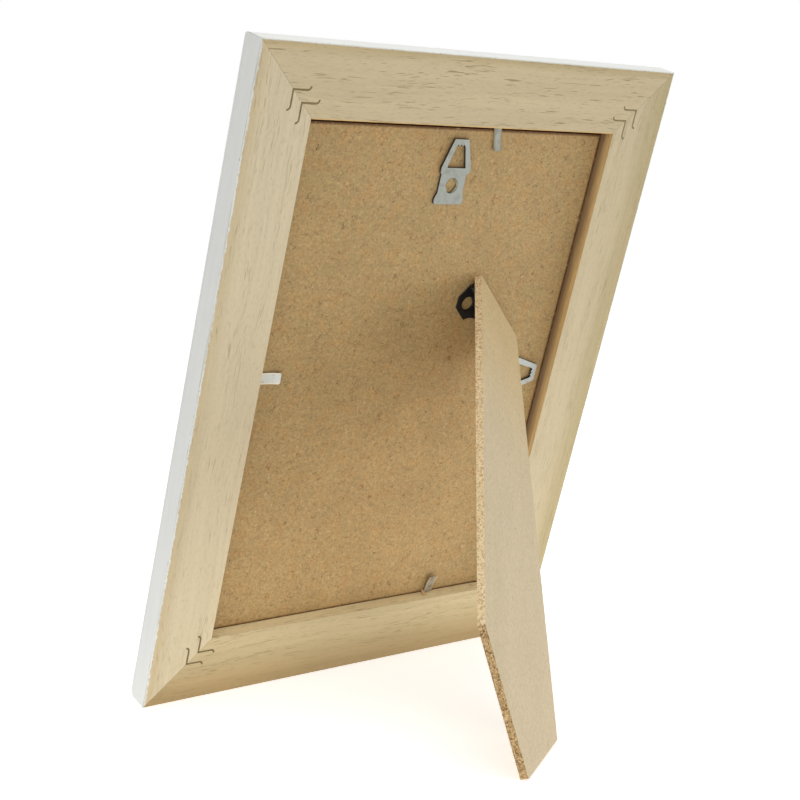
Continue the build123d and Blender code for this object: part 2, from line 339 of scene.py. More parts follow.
@dataclass(frozen=True)
class WoodGrain:
    """Open wood grain that runs along X, with sizes along and across it."""

    sway_size: Range = (60.0, 16.0)
    sway_reach: float = 7.0
    broad_size: Range = (150.0, 7.0)
    streak_size: Range = (60.0, 1.3)
    streak_rough: float = 0.6
    streak_height: float = 0.35
    crowd_size: Range = (30.0, 3.2)
    crowd_share: float = 0.42
    dash_size: Range = (6.5, 0.30)
    dash_rough: float = 0.4
    dash_rise: Range = (0.86, 0.95)
    pore_start: Triple = (17.0, 5.0, 3.0)
    pore_size: Range = (2.0, 0.22)
    pore_rise: Range = (0.57, 0.75)
    pore_depth: float = 0.4

    def lay(self, graph: Graph, place: Socket) -> dict[str, Socket]:
        """Lay the grain's nodes.

        Args:
            graph: The nodes of the group.
            place: Where the pattern is read.

        Returns:
            Broad tone, streaks, short dark dashes, finer pores and the height of the surface.
        """
        wander = graph.noise(graph.stretch(place, *self.sway_size), detail=1.0)
        sway = graph.math("MULTIPLY_ADD", wander, self.sway_reach, -self.sway_reach / 2)
        lines = graph.shift(place, graph.node("CombineXYZ", {"Y": sway}).outputs[0])
        broad = graph.noise(graph.stretch(lines, *self.broad_size))
        along = graph.stretch(lines, *self.streak_size)
        streak = graph.noise(along, detail=FINE_DETAIL, rough=self.streak_rough)
        crowd = graph.noise(graph.stretch(lines, *self.crowd_size), detail=1.0)
        dash = graph.noise(graph.stretch(lines, *self.dash_size), detail=1.0, rough=self.dash_rough)
        dashes = graph.step(graph.math("MULTIPLY_ADD", crowd, self.crowd_share, dash), *self.dash_rise)
        elsewhere = graph.stretch(graph.shift(lines, self.pore_start), *self.pore_size)
        pores = graph.step(graph.noise(elsewhere, detail=1.0), *self.pore_rise)
        height = graph.math("SUBTRACT", graph.math("MULTIPLY", streak, self.streak_height), dashes)
        height = graph.math("MULTIPLY_ADD", pores, -self.pore_depth, height)
        return {"Broad": broad, "Streak": streak, "Dashes": dashes, "Pores": pores, "Height": height}


@dataclass(frozen=True)
class PressedFibre:
    """Pressed fibres, from the clouds of a whole panel to the chips of a sawn edge."""

    cloud_size: float = 16.0
    grain_size: float = 0.9
    grain_rough: float = 0.75
    speck_warp: Range = (0.7, 0.5)
    speck_spacing: float = 3.1
    speck_rarity: float = 4.0
    speck_radius: float = 0.115
    speck_core: float = 0.4
    fibre_size: float = 3.0
    fibre_width: Range = (0.020, 0.006)
    fibre_part_start: Triple = (63.0, 21.0, 7.0)
    fibre_part_size: float = 2.2
    fibre_part_rise: Range = (0.58, 0.66)
    fibre_height: float = 0.6
    hair_start: Triple = (9.0, 4.0, 1.0)
    hair_size: float = 2.6
    hair_width: Range = (0.028, 0.008)
    hair_part_start: Triple = (5.0, 77.0, 33.0)
    hair_part_size: float = 3.2
    hair_part_rise: Range = (0.56, 0.64)
    chip_warp: Range = (0.4, 0.3)
    chip_size: float = 0.42

    def lay(self, graph: Graph, place: Socket) -> dict[str, Socket]:
        """Lay the nodes of the pressed fibres.

        Args:
            graph: The nodes of the group.
            place: Where the pattern is read.

        Returns:
            Soft clouds, fine grain, dark specks, pale fibres, dark hairs, chips and the height.
        """
        cloud = graph.noise(place, self.cloud_size, detail=FINE_DETAIL)
        grain = graph.noise(place, self.grain_size, detail=FINE_DETAIL, rough=self.grain_rough)
        near, chance = graph.cells(graph.warp(place, *self.speck_warp), self.speck_spacing)
        radius = graph.math("MULTIPLY", graph.math("POWER", chance, self.speck_rarity), self.speck_radius)
        specks = graph.step(near, radius, graph.math("MULTIPLY", radius, self.speck_core))
        part = graph.noise(graph.shift(place, self.fibre_part_start), self.fibre_part_size, detail=0.0)
        curl = graph.noise(place, self.fibre_size, detail=1.0)
        fibres = graph.thread(curl, self.fibre_width, graph.step(part, *self.fibre_part_rise))
        part = graph.noise(graph.shift(place, self.hair_part_start), self.hair_part_size, detail=1.0)
        curl = graph.noise(graph.shift(place, self.hair_start), self.hair_size)
        hairs = graph.thread(curl, self.hair_width, graph.step(part, *self.hair_part_rise))
        _, chips = graph.cells(graph.warp(place, *self.chip_warp), self.chip_size)
        height = graph.math("MULTIPLY_ADD", fibres, self.fibre_height, grain)
        return {
            "Cloud": cloud, "Grain": grain, "Specks": specks, "Fibres": fibres, "Hairs": hairs,
            "Chips": chips, "Height": graph.math("SUBTRACT", height, specks),
        }


@dataclass(frozen=True)
class DullPlating:
    """Dull plating on sheet metal, rubbed along X."""

    patch_size: float = 2.6
    patch_rough: float = 0.6
    patch_height: float = 0.8
    rubbed_size: Range = (5.0, 0.25)
    rubbed_height: float = 0.3
    pit_spacing: float = 1.1
    pit_rarity: float = 4.0
    pit_radius: float = 0.2

    def lay(self, graph: Graph, place: Socket) -> dict[str, Socket]:
        """Lay the nodes of the plating.

        Args:
            graph: The nodes of the group.
            place: Where the pattern is read.

        Returns:
            Patchy tone, fine rubbed lines, small pits and the height of the surface.
        """
        patch = graph.noise(place, self.patch_size, detail=FINE_DETAIL, rough=self.patch_rough)
        rubbed = graph.noise(graph.stretch(place, *self.rubbed_size), detail=1.0)
        near, chance = graph.cells(place, self.pit_spacing)
        radius = graph.math("MULTIPLY", graph.math("POWER", chance, self.pit_rarity), self.pit_radius)
        pits = graph.step(near, radius, 0.0)
        lines = graph.math("MULTIPLY", rubbed, self.rubbed_height)
        height = graph.math("SUBTRACT", graph.math("MULTIPLY_ADD", patch, self.patch_height, lines), pits)
        return {"Patch": patch, "Rubbed": rubbed, "Pits": pits, "Height": height}


class Pattern(Enum):
    """Surface patterns that several finishes share."""

    GRAIN = ("wood_grain", ("Broad", "Streak", "Dashes", "Pores", "Height"), WoodGrain().lay)
    FIBRE = (
        "pressed_fibre",
        ("Cloud", "Grain", "Specks", "Fibres", "Hairs", "Chips", "Height"),
        PressedFibre().lay,
    )
    PLATING = ("dull_plating", ("Patch", "Rubbed", "Pits", "Height"), DullPlating().lay)

    def tree(self) -> bpy.types.NodeTree:
        """The pattern's node group, built on its first use."""
        name, outputs, lay = self.value
        return bpy.data.node_groups.get(name) or pattern_group(name, outputs, lay)


class Surface:
    """One material under construction, on the coordinates of the place that it covers."""

    def __init__(self, name: str, place: Matrix) -> None:
        """Start a material.

        Args:
            name: The material's name.
            place: The axes that its patterns follow.
        """
        self.material = bpy.data.materials.new(name)
        self.material.use_nodes = True
        self.graph = Graph(self.material.node_tree)
        self.shader = self.material.node_tree.nodes["Principled BSDF"]
        local = place.inverted()
        mapping = {
            "Vector": self.graph.node("TexCoord").outputs["Object"],
            "Location": local.translation * PATTERN_SCALE,
            "Rotation": local.to_euler(),
            "Scale": (PATTERN_SCALE, PATTERN_SCALE, PATTERN_SCALE),
        }
        self.place = self.graph.node("Mapping", mapping).outputs[0]

    def pattern(self, pattern: Pattern, seed: float = 0.0, run: float = 1.0) -> dict[str, Socket]:
        """Place a shared pattern.

        Args:
            pattern: The pattern.
            seed: Moves it, so that two pieces don't match.
            run: Draws it out along X by this factor.

        Returns:
            The pattern's outputs by name.
        """
        group = self.graph.node("Group")
        group.node_tree = pattern.tree()
        self.graph.feed(group.inputs["Place"], self.graph.stretch(self.place, run, 1.0))
        self.graph.feed(group.inputs["Seed"], seed)
        return {socket.name: socket for socket in group.outputs}

    def axes(self) -> Axes:
        """The place's three coordinates in millimetres."""
        parts = self.graph.node("SeparateXYZ", {0: self.place}).outputs
        return parts[0], parts[1], parts[2]

    def shade(self, **inputs: Feed) -> bpy.types.Material:
        """Feed the shader.

        Args:
            inputs: Links and constants by input name, with underscores for spaces.

        Returns:
            The material.
        """
        for name, value in inputs.items():
            self.graph.feed(self.shader.inputs[name.replace("_", " ")], value)
        return self.material


@dataclass(frozen=True)
class RailFinish:
    """Raw wood behind and in the rabbet, with shade painted on the rabbet's wall, white paint on the sides
    and front, and a worn line between.
    """

    inner: Colour
    outer: Colour
    band: float
    dash: float
    ends: Range
    seed: float
    waver: float = 0.5
    paint_start: float = 0.1
    sag: float = 0.0
    sag_reach: Range = (0.1, 0.65)

    # Colours of the rabbet's wall, from its front corner out, which paint the shade in the rabbet, and of
    # pores and paint, and of the nicks, seam lines and painted shade streaks
    wall: Colour = tint(220, 184, 122)
    corner: Colour = tint(108, 68, 26)
    pore: Colour = tint(150, 130, 88)
    paint: Colour = tint(232, 233, 228)
    mark_and_shade: Colour = tint(132, 120, 94)

    # Bare wood: where its back and wall begin, how the wall's painted shade fades out from its corner, and
    # how strong its grain is
    band_start: float = 0.5
    back_width: float = 22.45
    back_fade: float = 0.2
    corner_shade_span: Range = (-4.7, 0.1)
    wall_ragged: float = 3.0
    broad_spread: float = 0.10
    streak_spread: float = 0.11
    pore_share: float = 0.32

    # Line of the mitre
    mitre_line: float = 0.12
    mitre_core: float = 0.03
    mitre_part_size: float = 6.0
    mitre_part_rise: Range = (0.46, 0.60)
    mitre_share: float = 0.6

    # Edge of the paint, with nicks and grey streaks of painted shade in a narrow margin by it
    edge_size: Range = (1.8, 0.9)
    edge_rough: float = 0.65
    edge_fade: float = 0.4
    edge_drop: float = 0.45
    drop_fade: float = 0.3
    rabbet_start: float = 9.0
    lip_depth: float = 10.2
    margin_inward: Range = (0.9, 0.2)
    margin_out: Range = (-0.9, -0.3)
    nick_size: float = 1.1
    nick_rise: Range = (0.62, 0.70)
    nick_share: float = 0.6
    streak_size: Range = (22.0, 0.5)
    shade_streak_rise: Range = (0.48, 0.60)
    shade_streak_share: float = 0.35

    # Paint's veil of tone, and what differs between paint and bare wood
    veil_size: Range = (18.0, 2.0)
    veil: Range = (0.92, 1.04)
    relief_share: Range = (0.25, 1.0)
    roughness: Range = (0.48, 0.78)
    relief: float = 0.05
    specular: float = 0.35

    def make(self, name: str, place: Matrix, length: float) -> bpy.types.Material:
        """Lay the material out.

        Args:
            name: The material's name.
            place: The rail's axes, with X along it, Y inward from its outer edge and Z out behind.
            length: The rail's outer length in metres.

        Returns:
            The finished material.
        """
        surface = Surface(name, place)
        graph = surface.graph
        grain = surface.pattern(Pattern.GRAIN, self.seed)
        axes = surface.axes()
        half = length / 2 / MM
        seam = self.seam(surface, axes, half)
        raw, marks = self.wear_and_edge_shade(surface, axes)
        faint = graph.math("MULTIPLY", seam, self.mitre_share)
        wood = graph.mix(faint, self.wood(graph, grain, axes, half), self.mark_and_shade)
        brushed = graph.noise(graph.stretch(surface.place, *self.veil_size), detail=FINE_DETAIL)
        veil = graph.span(brushed, *self.veil)
        white = graph.mix(seam, graph.scaled(self.paint, veil), self.mark_and_shade)
        colour = graph.mix(marks, graph.mix(raw, white, wood), self.mark_and_shade)
        height = graph.math("MULTIPLY", grain["Height"], graph.span(raw, *self.relief_share))
        return surface.shade(
            Base_Color=colour,
            Roughness=graph.span(raw, *self.roughness),
            Normal=graph.bump(graph.math("SUBTRACT", height, marks), self.relief),
            Specular_IOR_Level=self.specular,
        )

    def seam(self, surface: Surface, axes: Axes, half: float) -> Socket:
        """Where the mitre's line shows, which it does in parts only.

        Args:
            surface: The material under construction.
            axes: Places along, inward and out, in millimetres.
            half: Half of the rail's outer length in millimetres.

        Returns:
            The line's mask.
        """
        graph = surface.graph
        along, inward, _ = axes
        to_end = graph.math("SUBTRACT", half, graph.math("ABSOLUTE", along))
        to_mitre = graph.math("ABSOLUTE", graph.math("SUBTRACT", to_end, inward))
        line = graph.step(to_mitre, self.mitre_line, self.mitre_core)
        part = graph.noise(surface.place, self.mitre_part_size, detail=1.0)
        return graph.math("MULTIPLY", line, graph.step(part, *self.mitre_part_rise))

    def wear_and_edge_shade(self, surface: Surface, axes: Axes) -> tuple[Socket, Socket]:
        """Draw the uneven line where the paint ends, with painted shade along it.

        Args:
            surface: The material under construction.
            axes: Places along, inward and out, in millimetres.

        Returns:
            Masks of the bare wood, and of the nicks and the grey streaks of painted shade by the line.
        """
        graph = surface.graph
        _, inward, out = axes
        rubbed = graph.stretch(surface.place, *self.edge_size)
        waver = graph.noise(rubbed, detail=FINE_DETAIL, rough=self.edge_rough)
        edge = graph.math("MULTIPLY_ADD", waver, self.waver * 2, self.paint_start - self.waver)
        lowest = min(self.paint_start, 0.0) - self.edge_drop
        lip = graph.math("MULTIPLY_ADD", waver, -self.waver / 2, lowest + self.waver / 4)
        behind = graph.step(out, lip, graph.math("ADD", lip, self.drop_fade))
        beyond = graph.step(inward, edge, graph.math("ADD", edge, self.edge_fade))
        within = graph.math(
            "MULTIPLY",
            graph.math("GREATER_THAN", inward, self.rabbet_start),
            graph.math("GREATER_THAN", out, -self.lip_depth),
        )
        raw = graph.math("MAXIMUM", graph.math("MULTIPLY", behind, beyond), within)
        margin = graph.math(
            "MULTIPLY", graph.step(inward, *self.margin_inward), graph.step(out, *self.margin_out)
        )
        nicks = graph.step(graph.noise(surface.place, self.nick_size), *self.nick_rise)
        # Grey streaks of painted shade along the paint's edge
        shade_streaks = graph.noise(graph.stretch(surface.place, *self.streak_size))
        marks = graph.math(
            "MAXIMUM",
            graph.math("MULTIPLY", nicks, self.nick_share),
            graph.math("MULTIPLY", graph.step(shade_streaks, *self.shade_streak_rise), self.waver * self.shade_streak_share),
        )
        return raw, graph.math("MULTIPLY", margin, marks)

    def wood(self, graph: Graph, grain: dict[str, Socket], axes: Axes, half: float) -> Socket:
        """Colour the raw wood, with shade painted on the rabbet's wall.

        Args:
            graph: The material's nodes.
            grain: Outputs of the grain pattern.
            axes: Places along, inward and out, in millimetres.
            half: Half of the rail's outer length in millimetres.

        Returns:
            The wood's colour.
        """
        along, inward, out = axes
        tone = graph.mix(graph.step(inward, self.band_start, self.band), self.outer, self.inner)
        first, last = self.ends
        level = graph.math("MULTIPLY_ADD", along, (last - first) / 2 / half, (first + last) / 2)
        if self.sag:
            from_middle = graph.math("DIVIDE", graph.math("ABSOLUTE", along), half)
            sunk = graph.span(graph.step(from_middle, *self.sag_reach), 1 - self.sag, 1.0)
            level = graph.math("MULTIPLY", level, sunk)
        # Painted shade on the rabbet's wall, darkest at its corner by the board, with a ragged edge along
        # the grain
        lowered = graph.math("SUBTRACT", out, self.wall_ragged / 2)
        ragged = graph.math("MULTIPLY_ADD", grain["Streak"], self.wall_ragged, lowered)
        wall = graph.mix(graph.step(ragged, *self.corner_shade_span), self.corner, self.wall)
        past_back = graph.step(inward, self.back_width, self.back_width + self.back_fade)
        tone = graph.mix(past_back, graph.scaled(tone, level), wall)
        cast = graph.math(
            "MULTIPLY",
            graph.around(grain["Broad"], 1.0, self.broad_spread),
            graph.around(grain["Streak"], 1.0, self.streak_spread),
        )
        strokes = graph.math(
            "MAXIMUM",
            graph.math("MULTIPLY", grain["Dashes"], self.dash),
            graph.math("MULTIPLY", grain["Pores"], self.pore_share),
        )
        return graph.mix(strokes, graph.scaled(tone, cast), self.pore)


@dataclass(frozen=True)
class FibreFinish:
    """Pressed fibreboard, from a smooth face to a chipped sawn edge."""

    base: Colour
    pale: Colour
    dark: Colour
    cloud: float
    grain: float
    specks: float
    seed: float
    chips: float = 0.0
    run: float = 1.0
    mottle: float = 0.25
    depth: float = 0.04
    roughness: float = 0.72
    rough_spread: float = 0.08
    specular: float = 0.3

    # Where chips and grain turn pale or dark, and how strong fibres and hairs are beside the specks
    chip_pale: Range = (0.55, 1.00)
    chip_dark: Range = (0.45, 0.00)
    grain_pale: Range = (0.60, 0.78)
    grain_dark: Range = (0.42, 0.26)
    fibre_share: float = 0.5
    hair_share: float = 0.6

    def ground(self, surface: Surface) -> Feed:
        """The colour under the fibres, which is the same all over on a plain piece."""
        return self.base

    def make(self, name: str, place: Matrix) -> bpy.types.Material:
        """Lay the material out.

        Args:
            name: The material's name.
            place: The axes that its fibres follow.

        Returns:
            The finished material.
        """
        surface = Surface(name, place)
        graph = surface.graph
        fibre = surface.pattern(Pattern.FIBRE, self.seed, self.run)
        cast = graph.math(
            "MULTIPLY",
            graph.around(fibre["Cloud"], 1.0, self.cloud),
            graph.around(fibre["Grain"], 1.0, self.grain),
        )
        colour = graph.scaled(self.ground(surface), cast)
        layers = (
            ("Chips", self.chip_pale, self.chips, self.pale),
            ("Chips", self.chip_dark, self.chips, self.dark),
            ("Grain", self.grain_pale, self.mottle, self.pale),
            ("Grain", self.grain_dark, self.mottle, self.dark),
            ("Fibres", WHOLE, self.specks * self.fibre_share, self.pale),
            ("Hairs", WHOLE, self.specks * self.hair_share, self.dark),
            ("Specks", WHOLE, self.specks, self.dark),
        )
        for output, rise, share, layer in layers:
            if share:
                laid = graph.math("MULTIPLY", graph.step(fibre[output], *rise), share)
                colour = graph.mix(laid, colour, layer)
        height = graph.math("MULTIPLY_ADD", fibre["Chips"], self.chips, fibre["Height"])
        return surface.shade(
            Base_Color=colour,
            Roughness=graph.around(fibre["Grain"], self.roughness, self.rough_spread),
            Normal=graph.bump(height, self.depth),
            Specular_IOR_Level=self.specular,
        )


@dataclass(frozen=True)
class BoardFinish(FibreFinish):
    """A fibreboard panel with shade painted brown along its left, right, low and high edges, in millimetres.
    """

    # Painted shade where the board meets the rabbet's walls: its colour, how far it reaches and its darkest
    # band
    rim: Colour = tint(98, 64, 28)
    edge_shade_width: float = 1.2
    edge_shade_core: float = 0.24
    warm: Colour = tint(184, 143, 88)
    warm_share: float = 0.4
    warm_size: float = 5.0
    warm_rise: Range = (0.46, 0.66)
    edges: tuple[float, float, float, float] = (0.0, 0.0, 0.0, 0.0)

    def ground(self, surface: Surface) -> Feed:
        """The panel's colour with its warmer patches and the brown rim of painted shade along its edges.

        Args:
            surface: The material under construction.

        Returns:
            The colour under the fibres.
        """
        graph = surface.graph
        across, up, _ = surface.axes()
        left, right, low, high = self.edges
        from_left, from_right = graph.math("SUBTRACT", across, left), graph.math("SUBTRACT", right, across)
        from_low, from_high = graph.math("SUBTRACT", up, low), graph.math("SUBTRACT", high, up)
        near = graph.math(
            "MINIMUM",
            graph.math("MINIMUM", from_left, from_right),
            graph.math("MINIMUM", from_low, from_high),
        )
        patches = graph.step(graph.noise(surface.place, self.warm_size, detail=FINE_DETAIL), *self.warm_rise)
        field = graph.mix(graph.math("MULTIPLY", patches, self.warm_share), self.base, self.warm)
        return graph.mix(graph.step(near, self.edge_shade_width, self.edge_shade_core), field, self.rim)


@dataclass(frozen=True)
class LegFinish(FibreFinish):
    """A fibreboard face that is browner at the leg's head."""

    head: Colour = tint(198, 174, 128)
    head_reach: Range = (-4.0, 70.0)

    def ground(self, surface: Surface) -> Feed:
        """The face's colour, from the hinge down."""
        down = surface.axes()[0]
        return surface.graph.mix(surface.graph.step(down, *self.head_reach), self.head, self.base)


@dataclass(frozen=True)
class MetalFinish:
    """Steel of the hardware: bare plating, or lacquer over it."""

    base: Colour
    worn: Colour
    metallic: float
    roughness: float
    seed: float
    depth: float = 0.01
    # A border of painted highlight or painted shade along a strip's edges, and its width
    border_highlight_and_shade: Colour | None = None
    border_width: float = 0.9
    half_width: float = 0.0
    worn_rise: Range = (0.48, 0.72)
    rough_spread: float = 0.1

    def make(self, name: str, place: Matrix) -> bpy.types.Material:
        """Lay the material out, with a border of painted highlight or painted shade along a strip that has
        one.

        Args:
            name: The material's name.
            place: The axes that its rubbed lines follow.

        Returns:
            The finished material.
        """
        surface = Surface(name, place)
        graph = surface.graph
        plating = surface.pattern(Pattern.PLATING, self.seed)
        marks = graph.math("MAXIMUM", graph.step(plating["Patch"], *self.worn_rise), plating["Pits"])
        colour = graph.mix(marks, self.base, self.worn)
        if self.border_highlight_and_shade:
            across = graph.math("ABSOLUTE", surface.axes()[1])
            rim = graph.step(across, self.half_width - self.border_width, self.half_width)
            colour = graph.mix(rim, colour, self.border_highlight_and_shade)
        return surface.shade(
            Base_Color=colour,
            Metallic=self.metallic,
            Roughness=graph.around(plating["Rubbed"], self.roughness, self.rough_spread),
            Normal=graph.bump(plating["Height"], self.depth),
        )


@dataclass(frozen=True)
class GlassFinish:
    """Clear float glass with a faint film on it."""

    body: Colour = tint(246, 250, 248)
    index: float = 1.5
    film: float = 0.03
    smear_size: Range = (45.0, 20.0)

    def make(self, name: str, place: Matrix) -> bpy.types.Material:
        """Lay the material out.

        Args:
            name: The material's name.
            place: The axes that its film follows.

        Returns:
            The finished material.
        """
        surface = Surface(name, place)
        graph = surface.graph
        smear = graph.noise(graph.stretch(surface.place, *self.smear_size), detail=FINE_DETAIL)
        return surface.shade(
            Base_Color=self.body,
            Transmission_Weight=1.0,
            IOR=self.index,
            Roughness=graph.span(smear, 0.0, self.film),
        )


@dataclass(frozen=True)
class PaperFinish:
    """Blank matt paper with a fine tooth."""

    base: Colour = tint(240, 238, 232)
    shade: Colour = tint(226, 223, 214)
    shade_share: float = 0.5
    seed: float = 3.0
    roughness: float = 0.85
    tooth: float = 0.01

    def make(self, name: str, place: Matrix) -> bpy.types.Material:
        """Lay the material out.

        Args:
            name: The material's name.
            place: The axes that its fibres follow.

        Returns:
            The finished material.
        """
        surface = Surface(name, place)
        graph = surface.graph
        fibre = surface.pattern(Pattern.FIBRE, self.seed)
        return surface.shade(
            Base_Color=graph.mix(graph.span(fibre["Grain"], 0.0, self.shade_share), self.base, self.shade),
            Roughness=self.roughness,
            Normal=graph.bump(fibre["Grain"], self.tooth),
        )


def merged_copy(node: str) -> bmesh.types.BMesh:
    """Copy a CAD node's mesh, join its loose triangles and melt the flat ones together.

    Args:
        node: The node's name.

    Returns:
        A closed mesh of the node's faces.
    """
    shape = bmesh.new()
    shape.from_mesh(frame["nodes"][node].data)
    bmesh.ops.remove_doubles(shape, verts=shape.verts[:], dist=MERGE_GAP)
    bmesh.ops.dissolve_limit(
        shape, angle_limit=radians(FLAT_ANGLE), verts=shape.verts[:], edges=shape.edges[:]
    )
    return shape


def drawn_verts(parts: Iterable[MeshPart]) -> list[bmesh.types.BMVert]:
    """The vertices among what an extrusion made."""
    return [part for part in parts if isinstance(part, bmesh.types.BMVert)]


def whole(shape: bmesh.types.BMesh) -> list[MeshPart]:
    """All that a shape is made of."""
    return [*shape.verts, *shape.edges, *shape.faces]


def settled(shape: bmesh.types.BMesh) -> bmesh.types.BMesh:
    """Put a new shape's points and faces in one order, so that each run gives the same mesh.

    Args:
        shape: The shape, which is used up.

    Returns:
        The same shape in order.
    """
    ordered = sorted(shape.verts, key=lambda vert: tuple(round(part / ORDER_GRID) for part in vert.co))
    number = {vert: place for place, vert in enumerate(ordered)}
    faces = []
    for face in shape.faces:
        round_face = [number[vert] for vert in face.verts]
        start = round_face.index(min(round_face))
        faces.append((round_face[start:] + round_face[:start], face.material_index))
    fresh = bmesh.new()
    verts = [fresh.verts.new(vert.co) for vert in ordered]
    for corners, material in sorted(faces):
        fresh.faces.new([verts[corner] for corner in corners]).material_index = material
    shape.free()
    return fresh


def mark_edges(shape: bmesh.types.BMesh, face: Vector) -> None:
    """Name the second material on faces that turn away from a sheet's face.

    Args:
        shape: The sheet.
        face: Direction that its face looks.
    """
    shape.normal_update()
    for part in shape.faces:
        part.material_index = int(abs(part.normal.dot(face)) < EDGE_TURN)


def add_piece(
    name: str, shape: bmesh.types.BMesh, body: str, materials: list[bpy.types.Material]
) -> bpy.types.Object:
    """Turn a finished shape into a piece that rides on a body.

    Args:
        name: The piece's name.
        shape: Its mesh in the shared frame, which is used up.
        body: The CAD body that it moves with.
        materials: Its materials, in the order that its faces name them.

    Returns:
        The piece.
    """
    mesh = bpy.data.meshes.new(name)
    shape.to_mesh(mesh)
    shape.free()
    for material in materials:
        mesh.materials.append(material)
    piece = bpy.data.objects.new(name, mesh)
    bpy.context.scene.collection.objects.link(piece)
    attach(piece, body)
    return piece


def smooth_over(piece: bpy.types.Object, sharp: float) -> None:
    """Shade a piece smoothly, and keep its flats flat.

    Args:
        piece: The piece.
        sharp: Angle in degrees from which an edge stays sharp.
    """
    piece.data.shade_smooth()
    piece.data.set_sharp_from_angle(angle=radians(sharp))
    weighted = piece.modifiers.new("flat_faces", "WEIGHTED_NORMAL")
    weighted.keep_sharp = True


def soften(piece: bpy.types.Object, radius: float) -> None:
    """Round a piece's sharp edges.

    Args:
        piece: The piece.
        radius: How far the rounding reaches.
    """
    bevel = piece.modifiers.new("eased_edges", "BEVEL")
    bevel.width = radius
    bevel.segments = EASED_SEGMENTS
    bevel.limit_method = "ANGLE"
    bevel.angle_limit = radians(EASED_ANGLE)
    smooth_over(piece, SOFT_ANGLE)


def cut(piece: bpy.types.Object, cutters: list[bmesh.types.BMesh]) -> None:
    """Take shapes out of a piece.

    Args:
        piece: The piece to cut.
        cutters: Closed shapes in the shared frame, which are used up.
    """
    tools = []
    for cutter in cutters:
        mesh = bpy.data.meshes.new("cutter")
        cutter.to_mesh(mesh)
        cutter.free()
        tool = bpy.data.objects.new("cutter", mesh)
        bpy.context.scene.collection.objects.link(tool)
        tools.append(tool)
        step = piece.modifiers.new("slot", "BOOLEAN")
        step.object = tool
        step.operation = "DIFFERENCE"
        step.solver = "EXACT"
    bpy.context.view_layer.update()
    uncut = piece.data
    piece.data = bpy.data.meshes.new_from_object(piece.evaluated_get(bpy.context.evaluated_depsgraph_get()))
    piece.data.name = uncut.name
    piece.modifiers.clear()
    bpy.data.meshes.remove(uncut)
    for tool in tools:
        bpy.data.meshes.remove(tool.data)


def dress_node(node: str, material: bpy.types.Material) -> None:
    """Give a CAD node that stays in view its own material.

    Args:
        node: The node's name.
        material: Its material.
    """
    slots = frame["nodes"][node].data.materials
    slots.clear()
    slots.append(material)


